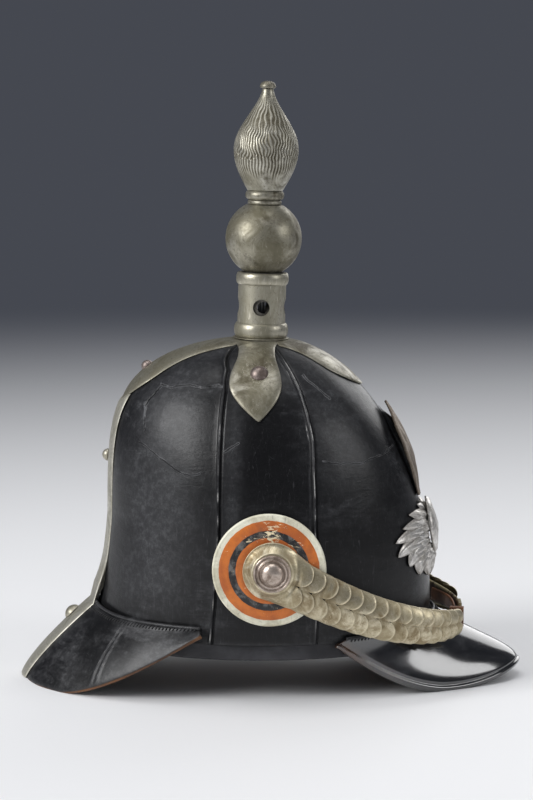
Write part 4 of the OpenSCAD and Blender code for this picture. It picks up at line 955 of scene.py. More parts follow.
def cutVents(piece, radius, shift):
    # Bores the round vent holes with a boolean modifier, then applies it and marks the holes' sharp edges
    bore, cutters = [(0, 6), (radius, 6), (radius, 30), (0, 30)], []
    for k in range(finialSet["vents"]):
        angle = math.radians(360 * k / finialSet["vents"] - 90 + shift)
        flat = np.array([math.cos(angle), math.sin(angle), 0])
        out = unit(flat - finialAxis * (flat @ finialAxis))
        cutters.append(turnedAt(finialFoot + finialAxis * ventZ, out, bore, 64))
    mesh = piece.data
    tool = addPiece("cutter", cutters, plainSteel, "helmet")
    cut = piece.modifiers.new("vents", "BOOLEAN")
    cut.object, cut.solver = tool, "EXACT"
    bpy.context.view_layer.update()
    ready = piece.evaluated_get(bpy.context.evaluated_depsgraph_get())
    made = bpy.data.meshes.new_from_object(ready)
    piece.modifiers.clear()
    piece.data = made
    bpy.data.meshes.remove(mesh)
    bpy.data.objects.remove(tool)
    marks = bmesh.new()
    marks.from_mesh(made)
    for edge in marks.edges:
        edge.smooth = len(edge.link_faces) < 2 or edge.calc_face_angle(0) < sharpAngle
    marks.to_mesh(made)
    marks.free()


def makeFinial():
    s = finialSet
    bore, wallLow = s["tubeR"] - s["wall"], s["base"] + s["low"]

    def turnPiece(name, outline, count, material, body, node):
        return addPiece(name, [turnedAt(finialFoot, finialAxis, outline, count)], material, body, [node])

    outline = ([(bore, s["base"])] + bead(s["tubeR"], s["bead"] + 0.2, s["base"], wallLow)
               + [(s["tubeR"], z) for z in np.linspace(wallLow, wallLow + s["plain"], 14)[1:-1]]
               + bead(s["tubeR"], s["bead"] - 0.3, wallLow + s["plain"], beadTop)
               + [(bore, beadTop), (bore, s["base"])])
    tube = turnPiece("ventTube", outline, 128, tubeNickel, "helmet", "vent_tube")
    cutVents(tube, s["vent"], 0)
    outer, inner = bore - gap, bore - gap - s["sleeve"]
    outline = [(inner, s["base"] + gap), (outer, s["base"] + gap), (outer, ballBase), (inner, ballBase),
               (inner, s["base"] + gap)]
    sleeve = turnPiece("ventSleeve", outline, 96, shadedSleeveSteel, "finial", "vent_sleeve")
    cutVents(sleeve, s["sleeveVent"], s["shift"])

    reach = math.acos(s["flat"] / s["ball"])
    outline = ([(s["rod"], ballBase)] + [(s["ball"] * math.cos(k), ballBase + ballHalf + s["ball"] * math.sin(k))
                                         for k in np.linspace(-reach, reach, 64)]
               + [(s["rod"], collarBase), (s["rod"], ballBase)])
    turnPiece("ball", outline, 128, nickel, "finial", "finial_ball")
    lower = collarBase + s["collarShare"] * s["collarH"]
    outline = ([(s["rod"], collarBase)] + bead(s["collar"] - 3.2, 1.6, collarBase, lower)
               + bead(s["collar"] - 2.4, 2.4, lower, flameBase) + [(s["rod"], flameBase), (s["rod"], collarBase)])
    turnPiece("collar", outline, 96, nickel, "finial", "finial_collar")
    brim = s["capH"] * s["capBrim"]
    outline = ([(0, capBase), (s["cap"] * 0.7, capBase)]
               + [(s["cap"] * (0.7 + 0.3 * math.sin(k)), capBase + brim * (1 - math.cos(k)))
                  for k in np.linspace(0.15, quarter, 8)]
               + [(s["cap"] * math.cos(k) ** 0.8, capBase + brim + (s["capH"] - brim) * math.sin(k))
                  for k in np.linspace(0.12, quarter, 14)])
    turnPiece("cap", outline, 64, nickel, "helmet", "finial_cap")


flameSet = {"cols": 456, "rows": 180, "strands": 57, "depth": 0.6, "tier": 0.335, "widest": 0.4, "notch": 0.35,
            "hem": ((0.022, 7, 1), (0.014, 16, 0), (0.008, 31, 2))}  # waves of the tier's edge: height, number, phase


def makeFlame():
    # Radius of the bare flame by the share t of its height, cut with upright hair-like strands in two tiers: short
    # straight ones low down, and long ones above that sway a little and merge in pairs towards the tip
    s, m = finialSet, flameSet
    wide = m["widest"]
    t = evenly(m["rows"])
    low = mix(s["collar"] - 1.1, s["flameR"], np.sin(quarter * held(t / wide)))
    high = mix(s["tipR"], s["flameR"], held(np.cos(quarter * held((t - wide) / (1 - wide)))) ** 1.6)
    radius = np.where(t < wide, low, high)[:, None]
    tt, aa = grid(t, circle(m["cols"]))
    hem = m["tier"] + sum(high * np.sin(count * aa + phase) for high, count, phase in m["hem"])
    upper = smooth(-0.012, 0.012, tt - hem)
    swayLow = 0.016 * np.sin(34 * tt + 3 * aa) + 0.03 * tt
    swayHigh = (0.042 * np.sin(25 * tt + 2.4 * np.sin(3 * aa + 1)) + 0.02 * np.sin(52 * tt + 7 * aa)
                + 0.05 * np.sin(8 * tt + 2 * aa))
    half = m["strands"] / 2
    phase = half * (aa + swayHigh)
    long = mix(np.abs(np.sin(phase)), np.abs(np.sin(phase / 2 + 0.6)), smooth(0.55, 0.8, tt))
    strand = mix(np.abs(np.sin(half * (aa + swayLow) + 0.8)), long, upper) ** 0.75
    ends = np.where(tt < hem, smooth(0.12, 0.22, tt + 0.03 * np.sin(9 * aa)), 1.0) * smooth(0.98, 0.8, tt)
    uneven = 0.72 + 0.28 * np.sin(9 * aa + 21 * tt + 2 * np.sin(5 * aa))
    depth = m["depth"] * ends * uneven * np.clip(radius / 15, 0.3, 1)
    r = radius - (1 - strand) * depth - m["notch"] * bell(tt - hem, 0.012)
    z = flameBase + s["flameH"] * tt
    side, front = np.array([math.cos(lean), 0, -math.sin(lean)]), np.array([0, 1.0, 0])
    points = (finialFoot + finialAxis * z[..., None] + side * (r * np.cos(aa))[..., None]
              + front * (r * np.sin(aa))[..., None])
    foot, tip = (finialFoot + finialAxis * h + 0 * points[:1] for h in (flameBase, flameBase + s["flameH"]))
    points = np.concatenate([foot, points, tip])
    # The grooves between strands are painted darker, as tarnish and as painted shade, with a painted shadow band
    # under the upper tier's edge; the raised strands are painted brighter, as wear and as a painted highlight
    shade = held((1 - strand) ** 0.8 * ends * 1.2 + 0.55 * bell(tt - hem - 0.012, 0.022))
    wearAndSheen = smooth(0.75, 1.0, strand) * ends
    shade, wearAndSheen = (np.concatenate([k[:1], k, k[-1:]]) for k in (shade, wearAndSheen))
    addPiece("flame", [{"points": points, "wrap": "c", "shade": shade, "wearAndSheen": wearAndSheen}], flameNickel, "finial",
             ["finial_flame"])


makeFinial()
makeFlame()
print("finial made")

# Front plate: overlapping tongues of flame, a crest above them and a domed disc on both

plateSet = {"starZ": 97.0, "halfH": 28.0, "halfW": 57.0, "rays": 18, "thick": 1.0,
            "crestTop": 186.5, "crestFoot": 126.5, "crestHalf": 22.0, "crestWide": 0.55, "crestOff": (0.8, 5.4),
            "discZ": 104.0, "discR": 19.5, "discInner": 18.1, "dome": 5.6, "discSeat": 3.2, "discThick": 1.0}

# Three rings of tongues: inner and outer share of the star's ellipse, half-width, lift and shift
starRings = ((0.4, 1.0, 0.28, 0.5, 0), (0.34, 0.84, 0.27, 1.5, 0.5), (0.3, 0.66, 0.26, 2.2, 0))


def plateSkin(u, v, off):  # a point at u across and v up from the star's centre, off the skull by off
    z = plateSet["starZ"] + v
    return skin(besideAngle(0, z, u), z, off)


def underDisc(u, v, off):  # keeps the tongues below the domed disc, which stands off the curved skull
    p = plateSet
    away = np.hypot(u, p["starZ"] + v - p["discZ"])
    room = p["discSeat"] - gap + away ** 2 / 150 + 6 * smooth(p["discR"] - 1, p["discR"] + 4, away)
    return np.minimum(off, room)


def flameTongue(turn, inner, outer, half, lift, curl):
    # One tongue of flame: a ridged leaf from inner to outer share of the star's ellipse, whose tip curls aside
    tt, cc = grid(evenly(24), np.linspace(-1, 1, 13))
    width = half * np.sin(math.pi * held(tt * 0.74 + 0.26)) ** 0.8
    sway = curl * (0.22 * tt ** 2.4 - 0.08 * np.sin(math.pi * tt))
    angle = turn + sway + width * cc
    share = mix(inner, outer, tt)
    u = share * plateSet["halfW"] * np.cos(angle)
    v = share * plateSet["halfH"] * np.sin(angle)
    ridge = 1 - np.abs(cc - 0.25 * curl) ** 1.5
    crown = np.sin(math.pi * held(tt * 0.75 + 0.25)) ** 0.6
    groove = np.abs(np.sin(cc * 5 + 1))
    off = lift + 2.6 * ridge * crown - 0.8 * groove * crown + 1.2 * np.sin(math.pi * tt) + 0.4
    top = plateSkin(u, v, underDisc(u, v, np.maximum(off, 0.9)))
    under = plateSkin(u, v, 0.5 + 0.25 * lift + 0 * u)
    # Painted shade at the tongues' edges where they overlap, in their grooves and near the middle under the disc
    shade = held(0.9 * np.abs(cc) ** 8 + 0.4 * groove ** 3 + 0.3 * smooth(0.5, 0.3, share))
    return shell(top, under, shade=shade, back=0.8)


def makeStar():  # three rings of tongues over a plain bed
    p = plateSet
    sheets = []
    rng = np.random.default_rng(12)
    for inner, outer, half, lift, shift in starRings:
        for k in range(p["rays"]):
            turn = 2 * math.pi * (k + shift) / p["rays"]
            reach = outer * rng.uniform(0.93, 1.0)
            sheets.append(flameTongue(turn, inner, reach, half, lift, -1 if math.cos(turn) > 0 else 1))
    rr, cc = grid(np.concatenate([[0.1], np.linspace(0.11, 0.5, 12)]), circle(96))
    u, v = rr * p["halfW"] * np.cos(cc), rr * p["halfH"] * np.sin(cc)
    # The bed under the tongues is painted darker, as shade
    bed = shell(plateSkin(u, v, 1.5 + 0.8 * (1 - rr)), plateSkin(u, v, 0.7), shade=0.5, back=0.5, wrap="rc")
    addPiece("flameStar", sheets + [bed], plateSilver, "helmet", ["plate_star"])


def makeCrest():
    # A bulged shield with a raised border and stepped scroll lines inside it; its under face is painted dark as
    # shade, and a dark sheet behind it stands in for the shadow in the gap under it
    p = plateSet
    wide = p["crestWide"]
    tt, ss = grid(evenly(90), crowded(49))
    low = mix(0.6 * p["crestHalf"], p["crestHalf"], np.sin(quarter * held(tt / wide)))
    high = 0.4 + (p["crestHalf"] - 0.4) * held(np.cos(quarter * held((tt - wide) / (1 - wide)))) ** 0.8
    half = np.where(tt < wide, low, high) * (1 + 0.05 * np.sin(18 * tt))
    z = mix(p["crestFoot"], p["crestTop"], tt)
    bulge = mix(*p["crestOff"], np.sin(quarter * held(tt / 0.6)) ** 1.5) * (1 - 0.12 * ss ** 2)
    border = bell(np.abs(ss) - 0.9, 0.07) * 0.8
    scrolls = 0.45 * np.sin(16 * tt + 5 * np.cos(4 * ss)) * np.cos(7 * ss + 6 * tt) * smooth(0.85, 0.6, np.abs(ss))
    relief = (border + scrolls) * smooth(1.0, 0.9, tt)
    a = besideAngle(0, z, ss * half)
    top, under = skin(a, z, p["thick"] + gap + bulge + relief * 0.7), skin(a, z, gap + bulge)
    addPiece("crestPlate", [shell(top, under, held(relief), held(0.45 - relief * 0.8), 1.0)], crestSilver, "helmet",
             ["plate_crest"])
    # A dark sheet that fills the gap under the shield: a painted shadow
    a = besideAngle(0, z, ss * half * 0.86)
    fill, rest = skin(a, z, gap + 0.05 + bulge * 0.96 * smooth(1.0, 0.7, tt)), skin(a, z, gap)
    addPiece("crestShadowFill", [shell(fill[:, 2:-2], rest[:, 2:-2])], blackLeather, "helmet")


def makeDisc():
    p = plateSet
    k = evenly(26)
    dome = p["discSeat"] + p["dome"] * np.sqrt(k)
    steps = 0.45 * bell(k - 0.12, 0.035) + 0.3 * bell(k - 0.3, 0.03)
    under = np.stack([p["discInner"] * (1 - k), dome], 1)
    over = np.stack([p["discR"] * (1 - k), dome + p["discThick"] + steps], 1)[::-1]
    outline = np.concatenate([over, [[p["discR"], p["discSeat"]]], under])
    addPiece("plateDisc", [turnedAt(*wallFrame(0, p["discZ"]), outline)], plateSilver, "helmet",
             ["plate_disc"])


makeStar()
makeCrest()
makeDisc()
print("front plate made")

# Cockades: painted tin discs with ring-shaped steps

pivotSet = {"x": 2.9, "z": 89.5, "back": 2.2, "cockadeR": 37.4, "seat": 88.4, "tin": 1.2, "dome": 2.8,
            "rings": (0.587, 0.711, 0.884), "strap": 2.0, "bossR": 12.3, "bossRim": 0.7, "bossRing": 9.2,
            "bossDome": 4.6, "domeR": 7.344, "shank": 3.5, "foot": 80.0,
            "rosette": 19.5, "rosetteRise": 5.0, "rosetteT": 1.2}

# Spots of the cockade where the paint is chipped most: x, z and size
chipSpots = ((2.0, 115.5, 13.0), (-9.0, 112.0, 9.0), (19.0, 105.0, 9.0), (25.0, 93.0, 6.0))
strapIn = pivotSet["seat"] + pivotSet["tin"] + pivotSet["dome"] + 2 * gap
strapOut = strapIn + pivotSet["strap"]
strapSide = strapOut + gap
rosetteTop = strapSide + pivotSet["rosetteRise"] + pivotSet["rosetteT"]
bossSeat = rosetteTop + gap


def makeCockadePaint(side):
    # Rings of paint by distance from the disc's centre, with chips that show bare tin
    made, tree, shader = startMaterial("cockadePaint" + ("Right" if side < 0 else "Left"))
    here = objectPlace(tree)
    p = pivotSet
    centre = ((p["x"] - p["back"]) / 1000, 0.0, p["z"] / 1000)
    flat = vector(tree, "MULTIPLY", here, (1.0, 0.0, 1.0))
    away = vector(tree, "DISTANCE", flat, centre, result="Value")
    brush = noise(tree, here, 240, 3, 0.6)
    ragged = calc(tree, "ADD", away, times(tree, calc(tree, "SUBTRACT", brush, 0.5), 0.0009))
    r = p["cockadeR"] / 1000
    cloud = noise(tree, here, 60, 6, 0.65, 0.4)
    white = blendColour(tree, span(tree, cloud, 0.35, 0.7), (0.78, 0.76, 0.62), (0.5, 0.46, 0.33))
    orange = blendColour(tree, span(tree, cloud, 0.35, 0.65), (0.6, 0.165, 0.024), (0.4, 0.095, 0.016))
    black = blendColour(tree, span(tree, noise(tree, here, 140, 6, 0.7), 0.46, 0.62), (0.014, 0.013, 0.014),
                        (0.13, 0.125, 0.12))
    colour = orange
    for ring, paint in zip(p["rings"], (black, orange, white)):
        colour = blendColour(tree, span(tree, ragged, r * ring - 0.00012, r * ring + 0.00012), colour, paint)
    chips = noise(tree, stretched(tree, here, (150, 150, 420)), 1.0, 6, 0.7, 1.2)
    spots = None
    for x, z, size in chipSpots:
        gone = vector(tree, "DISTANCE", flat, (x / 1000, 0.0, z / 1000), result="Value")
        near = span(tree, gone, 0.003, size / 1000, 0.17 if size > 10 else 0.1, 0.0)
        spots = near if spots is None else larger(tree, spots, near)
    bare = span(tree, calc(tree, "ADD", chips, spots), 0.67, 0.7)
    colour = blendColour(tree, bare, colour, (0.8, 0.68, 0.45))
    grime = span(tree, noise(tree, here, 130, 6, 0.7), 0.52, 0.75)
    colour = tint(tree, colour, grime, 0.45, (0.13, 0.09, 0.05))
    scrapes = hairlines(tree, here, 260, 0.014, 2.2, (0.2, 0.7, 0.0))
    colour = tint(tree, colour, scrapes, 0.4, (0.1, 0.07, 0.04))
    normal = bumped(tree, calc(tree, "SUBTRACT", brush, bare), 0.35, 0.4)
    feed(tree, shader, Base_Color=colour, Roughness=span(tree, cloud, 0.3, 0.7, 0.34, 0.52), Normal=normal)
    return made


def besideAxis(side):
    return np.array([pivotSet["x"], 0, pivotSet["z"]]), np.array([0, float(side), 0])


def makeCockade(side, word):
    p = pivotSet
    centre, axis = besideAxis(side)
    centre = centre - [p["back"], 0, 0]
    s = np.concatenate([np.linspace(0.1, 0.96, 60), 1 - 0.04 * (1 - evenly(8)) ** 2])
    steps = sum(0.22 * bell(s - k, 0.012) for k in p["rings"])
    rim = 0.5 * bell(s - 0.975, 0.02)
    face = np.minimum(p["tin"] + p["dome"] * rounded(s, 2) - steps + rim, p["tin"] + p["dome"])
    under = p["dome"] * rounded(s, 2) * 0.98
    r = p["cockadeR"] * s
    outline = np.concatenate([np.stack([r, p["seat"] + face], 1), [[p["cockadeR"], p["seat"] + 0.3]],
                              np.stack([r, p["seat"] + under], 1)[::-1], [[r[0], p["seat"] + face[0]]]])
    addPiece(word + "Cockade", [turnedAt(centre, axis, outline, 128)], makeCockadePaint(side), "helmet",
             [word + "_cockade"])


def makeBoss(side, word):
    p = pivotSet
    centre, axis = besideAxis(side)
    hub = rosetteTop - p["rosetteT"] - gap

    def arc(middle, height, wide, high, a):  # points of a round bead or dome
        return [(middle + wide * math.cos(k), bossSeat + height + high * math.sin(k)) for k in a]
    shank, rim, around = p["shank"], p["bossRim"], np.linspace(0, math.pi, 9)
    outline = [(0, p["foot"]), (shank, p["foot"]), (shank, strapSide), (2 * shank, strapSide), (2 * shank, hub),
               (shank, hub), (shank, bossSeat), (p["bossR"], bossSeat)]
    outline += arc(p["bossR"] - rim, 1, rim, rim, around) + arc(p["bossRing"], 1.1, rim, rim, around)
    outline += arc(0, 0.8, p["domeR"], p["bossDome"], np.linspace(0, quarter, 14))
    # Painted shade on the hidden shank and hub, and in the corners at the feet of the beads and the dome
    shade = [0.4] * 8 + [0.0] * 8 + [0.7] + [0.6] + [0.0] * 7 + [0.7] + [0.5] + [0.0] * 13
    addPiece(word + "Boss", [turnedAt(centre, axis, outline, 96, shade)], bossSteel, "helmet",
             [word + "_boss"])


sides = ((-1, "right"), (1, "left"))
for side, word in sides:
    makeCockade(side, word)
    makeBoss(side, word)
print("cockades and bosses made")

# Chin scales: the strap's line goes from a pivot (share 0) to the middle of the front (share 1)

buckleLow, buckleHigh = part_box("buckle_frame")
strapSet = {"reach": 128.6, "drop": pivotSet["z"] - 500 * (buckleLow[2] + buckleHigh[2]), "halfWidth": 16.8,
            "frontHalf": 6.2, "count": 14, "pitch": 9.4, "length": 14.5, "metal": 0.8, "full": 0.83, "leather": 0.8,
            "tilt": 6.0, "frame": 8.0, "plateFlat": 12.6, "rimOff": 0.9, "arch": 0.27, "start": 0.8,
            "lobeDome": 0.28, "lobeRise": 0.45}


def ahead(q):
    return held(np.sin(quarter * q)) ** strapSet["full"]


def strapAt(q):
    p, s = pivotSet, strapSet
    return np.stack([p["x"] + s["reach"] * ahead(q), -strapSide * held(np.cos(quarter * q)) ** s["full"],
                     p["z"] - s["drop"] * (1 - held(1 - ahead(q)) ** 1.65)], -1)


def strapFrame(q):
    # Point, direction, outward normal and upward direction of the strap's line at the shares q
    q = np.asarray(q, float)
    way = unit(strapAt(np.minimum(q + 0.002, 1)) - strapAt(np.maximum(q - 0.002, 0)))
    way = np.where((q > 0.997)[..., None], np.array([0.0, 1.0, 0.0]), way)
    out = unit(np.stack([way[..., 1], -way[..., 0], 0 * q], -1))
    return strapAt(q), way, out, np.cross(out, way)


strapShares = evenly(241)
strapRuns = np.concatenate([[0], np.cumsum(np.linalg.norm(np.diff(strapAt(strapShares), axis=0), axis=1))])


def shareAt(run):
    return np.interp(run, strapRuns, strapShares)


def strapHalf(q):
    return mix(strapSet["halfWidth"], strapSet["frontHalf"], 0.57 * ahead(q) + 0.43 * ahead(q) ** 8)


def mirrored(sheets, side):
    # Pieces are built for the right side (-1). The left side's have y turned round
    return [{**s, "points": s["points"] * [1, -side, 1]} for s in sheets]


def lobed(c):  # two round lobes side by side over shares from -1 to 1
    return rounded(2 * np.abs(c) - 1, 2)


def scaleArc(w):
    # A scale of half-width w: its arch's height and radius, and the height of the strap's edge over the arch's centre
    arch = strapSet["arch"] * w
    r = (w * w + arch * arch) / (2 * arch)
    return arch, r, math.sqrt(r * r - (strapSet["leather"] * w) ** 2)


def frameAt(run):
    # Point, outward and upward direction by length along the strap, which goes on straight behind the pivot
    p, way, out, up = strapFrame(shareAt(np.maximum(run, 0)))
    return p + np.minimum(run, 0)[..., None] * way, out, up


def chinScale(run, seed):
    # One arched scale: two round lobes at its free end, each domed, with a worn rolled edge
    s = strapSet
    q = float(shareAt(run))
    p, way, out, up = strapFrame(np.array(q))
    w = float(strapHalf(q))
    arch, r, edge = scaleArc(w)
    kk, cc = grid(evenly(20), np.linspace(-1, 1, 45))
    lobe = lobed(cc)
    reach = s["length"] - w / 2 * (1 - lobe)
    angle = math.asin(w / r) * cc
    dome = s["lobeDome"] * lobe ** 0.5 * smooth(0.1, 0.55, kk) * (1 - 0.2 * smooth(0.8, 1, kk))
    along = reach * kk
    tilt = math.radians(s["tilt"])

    def place(radius):
        y, h = radius * np.sin(angle), radius * np.cos(angle) - (r - arch)
        x2 = along * math.cos(tilt) - h * math.sin(tilt)
        h2 = along * math.sin(tilt) + h * math.cos(tilt) - (edge - r + arch)
        return p + x2[..., None] * way + y[..., None] * up + h2[..., None] * out
    top = place(r + s["metal"] * (0.25 + 0.75 * rounded(cc, 10) * rounded(kk, 14)) + dome)
    under = place(r + 0 * cc)
    rng = np.random.default_rng(seed + 40)
    old = 0.04 + 0.26 * rng.random() * (1 + 0.6 * ripple(top, 6, seed))
    wearAndSheen = held(smooth(0.86, 0.98, kk) * 0.9 + 0.4 * np.abs(cc) ** 8)
    # Painted shade along the crease between the lobes and at the scale's base, under the lobes of the scale before
    # it; old is tarnish
    shade = held(0.45 * bell(cc, 0.05) * smooth(0.2, 0.9, kk) + 0.25 * smooth(0.6, 0.42, kk) + old)
    return shell(top, under, wearAndSheen, shade, 0.9)


def leatherBand(runs, halves, off, thick):
    # A flat strap along the line: rounded long edges, its upper face off the line by off
    p, out, up = frameAt(runs)
    c = crowded(13)
    y = halves[:, None] * c
    middle, roll = off - thick / 2, thick / 2 * rounded(c, 8)
    top, under = (p[:, None] + y[..., None] * up[:, None] + h[None, :, None] * out[:, None]
                  for h in (middle + roll, middle - roll))
    shade = np.abs(c) ** 6
    return shell(top, under, shade=shade, back=shade)


def plateOutline(turn):
    # Reach of the end plate from the pivot: a round back, straight sides and two lobes like those of a scale
    s, r = strapSet, pivotSet["rosette"]
    w, lobe = s["halfWidth"], s["halfWidth"] / 2
    neck = r + s["start"] - s["pitch"] + s["length"] - lobe
    k = np.linspace(0, math.pi, 90)
    lobes = np.stack([neck + lobe * np.sin(k), lobe - lobe * np.cos(k)], 1)
    corner = np.array([neck, w])
    tangent = math.atan2(w, neck) + math.acos(r / math.hypot(neck, w))
    back = np.linspace(tangent, math.pi, 60)
    path = np.concatenate([lobes, mix(corner, r * np.array([math.cos(tangent), math.sin(tangent)]),
                                      np.linspace(0.05, 0.95, 20)[:, None]),
                           r * np.stack([np.cos(back), np.sin(back)], 1)])
    path[0] = [neck, 1e-6]
    return np.interp(np.abs(turn), np.arctan2(path[:, 1], path[:, 0]), np.linalg.norm(path, axis=1))


def makeEndPlate(side, word):
    # A teardrop plate round the pivot: a raised flat hub that slopes to its rim and runs out into the first scale
    s, p = strapSet, pivotSet
    c = np.linspace(-1, 1, 181)[:-1]
    turn = math.pi * np.sign(c) * np.abs(c) ** 1.35
    bore, flatR = p["shank"] + 0.05, s["plateFlat"]
    hubRows, slopeRows = 8, 26
    rings = np.concatenate([np.linspace(bore, flatR, hubRows), np.zeros(slopeRows)])
    t = np.concatenate([np.zeros(hubRows), evenly(slopeRows + 1)[1:] ** 0.8])
    rho = rings[:, None] + (t > 0)[:, None] * (flatR + (plateOutline(turn)[None, :] - flatR) * t[:, None])
    run, across = rho * np.cos(turn), rho * np.sin(turn)
    hub = mix(rosetteTop - strapSide, s["rimOff"], smooth(flatR, p["rosette"] - 0.5, rho) ** 0.75)
    hub = hub + 0.35 * bell(rho - flatR - 0.8, 0.5)
    _, r, over = scaleArc(s["halfWidth"])
    first = p["rosette"] + s["start"] - s["pitch"]
    rise = s["lobeRise"] * lobed(held(np.abs(across) / s["halfWidth"])) ** 0.5
    scale = (np.sqrt(np.maximum(r * r - across ** 2, 0)) - over + (run - first) * math.tan(math.radians(s["tilt"]))
             + s["metal"] + rise)
    share = smooth(flatR, p["rosette"] + 1, rho) * smooth(-2, 10, run)
    top = mix(hub, scale, share) - 0.55 * (1 - rounded(t, 14)[:, None])
    under = np.minimum(mix(hub - p["rosetteT"], scale - rise - s["metal"], share), top - 0.3)
    line, out, up = frameAt(run)

    def face(off):
        return line + across[..., None] * up + off[..., None] * out
    wearAndSheen = held(0.7 * smooth(0.9, 1, t)[:, None] + 0.5 * bell(rho - flatR - 0.8, 0.7))
    # Painted shade along the crease between the lobes; darker in a ring just inside the hub's bead, which is painted
    # brighter
    shade = held(0.5 * smooth(8, 14, run) * bell(across, 1.2) + 0.4 * bell(rho - flatR + 0.4, 0.6))
    sheet = shell(face(top), face(under), wearAndSheen, shade, 0.8, "rc")
    addPiece(word + "EndPlate", mirrored([sheet], side), scaleMetal, word + "_chin",
             [word + "_rosette"])


def makeChin(side, word):
    s, p = strapSet, pivotSet
    first = p["rosette"] + s["start"]
    sheets = [chinScale(first + k * s["pitch"], k) for k in range(s["count"])]
    addPiece(word + "Scales", mirrored(sheets, side), scaleMetal, word + "_chin", [word + "_scales"])
    end = s["halfWidth"] * s["leather"]
    behind = -end * np.cos(np.linspace(0.06, quarter, 14))[:-1]
    front = np.linspace(0, strapRuns[-1] - s["frame"] - gap, 110)
    runs = np.concatenate([behind, front])
    halves = np.concatenate([np.sqrt(end ** 2 - behind ** 2), strapHalf(shareAt(front)) * s["leather"]])
    addPiece(word + "Strap", mirrored([leatherBand(runs, halves, -gap, p["strap"])], side), strapHide,
             word + "_chin", [word + "_strap"])
    makeEndPlate(side, word)


for side, word in sides:
    makeChin(side, word)


# Its reach is a share of the strap's line, from the middle to the right (negative) and to the left
tongueSet = {"reach": (-0.3, 0.34), "halfWidth": 4.4, "halfThick": 0.9, "behind": 1.7}


def makeTongue():
    # The left half's tongue, which passes behind the buckle's frame and ends on the right
    s = tongueSet
    v = np.linspace(*s["reach"], 90)
    c = crowded(13)
    depth = gap + pivotSet["strap"] + gap + s["behind"] * held(1 - (v / 0.24) ** 2) ** 2
    p, _, out, up = strapFrame(1 - np.abs(v))
    half = s["halfWidth"] * np.sqrt(np.clip(1 - held((-v - 0.27) / 0.032) ** 2, 0.02, 1))
    roll = s["halfThick"] * rounded(c, 8)
    y = half[:, None] * c

    def face(sign):
        off = -depth[:, None] - s["halfThick"] + sign * roll[None, :]
        points = p[:, None] + y[..., None] * up[:, None] + off[..., None] * out[:, None]
        points[..., 1] *= np.where(v > 0, -1, 1)[:, None]
        return points
    addPiece("strapTongue", [shell(face(1), face(-1))], brownHide, "left_chin", ["strap_tongue"])


makeTongue()
print("chin scales made")

# Lining: sweatband, liner tongues and the cord that draws them together

liningSet = {"low": 28.0, "height": 32.0, "band": 1.5, "out": 3.5, "pleats": 60, "pleat": 0.25, "pleatH": 8.0,
             "tongues": 10, "fill": 5 / 6, "leather": 1.2, "drop": 14.0, "cord": 0.82, "strands": 3, "strand": 0.1,
             "winds": 26}


def makeLining():
    s = liningSet
    a = np.degrees(circle(240))[None, :]
    z = np.linspace(s["low"], s["low"] + s["height"], 20)[:, None]
    top = s["low"] + s["height"]
    pleat = s["pleat"] * np.sin(np.radians(a * s["pleats"])) * smooth(top - s["pleatH"], top, z)
    outer, inner = skin(a, z, -s["out"]), skin(a, z, -s["out"] - s["band"] + np.minimum(pleat, 0))
    edge = skin(a, s["low"], -s["out"] - s["band"] / 2)
    points = np.concatenate([outer[::-1], edge, inner])
    addPiece("sweatbandSheet", [{"points": points, "wrap": "rc"}], bandHide, "helmet",
             ["sweatband"])
    base = s["out"] + s["band"] + gap
    angles = np.linspace(float(climbAngle(top - s["pleatH"])), 76, 50)
    half = s["fill"] * 180 / s["tongues"]  # half-width in degrees
    sheets = []
    t, c = grid(evenly(50), crowded(17))
    height = climbHeight(angles)[:, None] + 0 * t
    width = half * mix(1, 0.7, t) * np.sqrt(np.clip(1 - held((t - 0.93) / 0.07) ** 2, 0.1, 1))
    off = -base - s["drop"] * t
    for k in range(s["tongues"]):
        turn = (k + 0.5) * 360 / s["tongues"] + width * c
        sheets.append(shell(skin(turn, height, off), skin(turn, height, off - s["leather"])))
    addPiece("linerTongues", sheets, linerHide, "helmet", ["liner_tongues"])
    low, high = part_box("liner_cord")
    centre, ring = (np.array(low) + np.array(high)) * 500, (high[0] - low[0]) * 500 - 0.9
    aa, bb = grid(circle(160), circle(14))
    twist = s["cord"] + s["strand"] * np.cos(s["strands"] * bb - s["winds"] * aa)  # strands wind round each other
    r = ring + twist * np.cos(bb)
    points = np.stack([centre[0] + r * np.cos(aa), centre[1] + r * np.sin(aa), centre[2] + twist * np.sin(bb)], -1)
    addPiece("linerCord", [{"points": points, "wrap": "rc"}], linerHide, "helmet", ["liner_cord"])


makeLining()
print("lining made")

# CAD nodes that keep their shape take a finish here

keptNodes = {"strap_keeper": brownHide, "buckle_frame": buckleBrass, "buckle_prong": buckleBrass,
             "plate_posts": plateSilver, "plate_nuts": plainSteel, "stud_nuts": plainSteel, "boss_nuts": plainSteel,
             "finial_rod": plainSteel, "rod_washer": plainSteel, "rod_nut": plainSteel}
for name, material in keptNodes.items():
    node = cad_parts[name]
    node.data.materials.clear()
    node.data.materials.append(material)

# Stage: a pale floor that fades with distance into a plain grey surrounding, and soft lamps, the key on the left

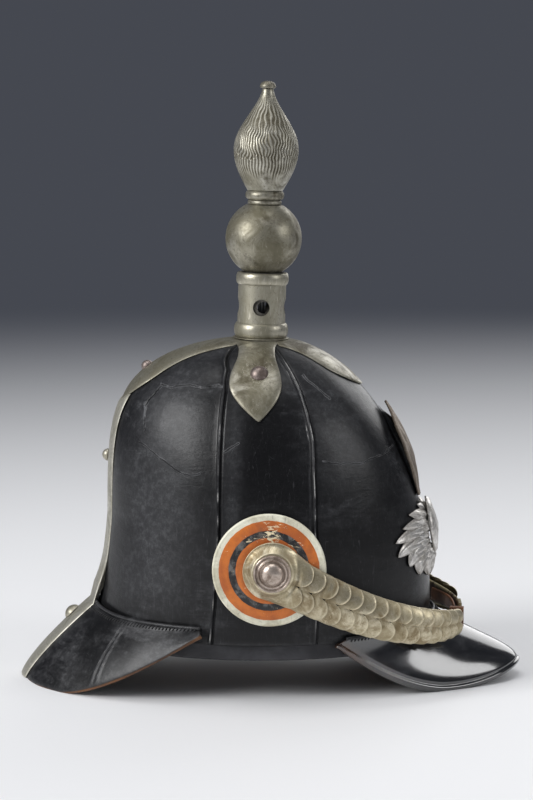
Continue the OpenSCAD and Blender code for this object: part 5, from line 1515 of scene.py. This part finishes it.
stageSet = {"floor": (0.86, 0.86, 0.87), "far": (0.06, 0.065, 0.08), "air": (0.5, 0.52, 0.56), "airStrength": 0.5,
            "fadeFrom": 0.25, "fadeTo": 2.7, "lampAim": (0, 0, 0.18),
            "lamps": (("key", (-2.0, -1.2, 1.4), 1.2, 54), ("fill", (1.85, -0.68, 1.05), 0.8, 9),
                      ("back", (1.15, 2.1, 1.15), 1.6, 18), ("top", (-0.1, -0.1, 2.2), 1.4, 16))}


def seenRays(tree):  # 1 for rays from the camera, reflections and refractions, 0 for light on the object
    path = put(tree, "ShaderNodeLightPath").outputs
    seen = larger(tree, path["Is Camera Ray"], path["Is Glossy Ray"])
    return larger(tree, seen, path["Is Transmission Ray"])


def makeStage():
    s = stageSet
    floor = bpy.data.meshes.new("floor")
    floor.from_pydata([(-6, -6, 0), (6, -6, 0), (6, 6, 0), (-6, 6, 0)], [], [(0, 1, 2, 3)])
    made, tree, shader = startMaterial("floorPaint")
    here = objectPlace(tree)
    colour = blendColour(tree, noise(tree, here, 1.5, 3, 0.5), s["floor"], tuple(k * 0.97 for k in s["floor"]))
    feed(tree, shader, Base_Color=colour, Roughness=0.6)
    away = vector(tree, "LENGTH", here, result="Value")
    fade = span(tree, away, s["fadeFrom"], s["fadeTo"])
    far = put(tree, "ShaderNodeEmission", Color=(*s["far"], 1)).outputs[0]
    both = put(tree, "ShaderNodeMixShader", i0=times(tree, fade, seenRays(tree)), i1=shader.outputs[0], i2=far)
    feed(tree, tree.nodes["Material Output"], Surface=both.outputs[0])
    floor.materials.append(made)
    piece = bpy.data.objects.new("floor", floor)
    bpy.context.scene.collection.objects.link(piece)
    world = bpy.data.worlds.new("air")
    bpy.context.scene.world = world
    world.use_nodes = True
    tree = world.node_tree
    shown = seenRays(tree)
    feed(tree, tree.nodes["Background"], Color=blendColour(tree, shown, s["air"], s["far"]),
         Strength=span(tree, shown, 0.0, 1.0, s["airStrength"], 1.0))
    for name, place, size, power in s["lamps"]:
        lamp = bpy.data.lights.new(name, "AREA")
        lamp.shape, lamp.size, lamp.energy = "SQUARE", size, power
        placed(name, lamp, place, s["lampAim"])
    bpy.context.scene.view_settings.view_transform = "Standard"


makeStage()
print("stage set")
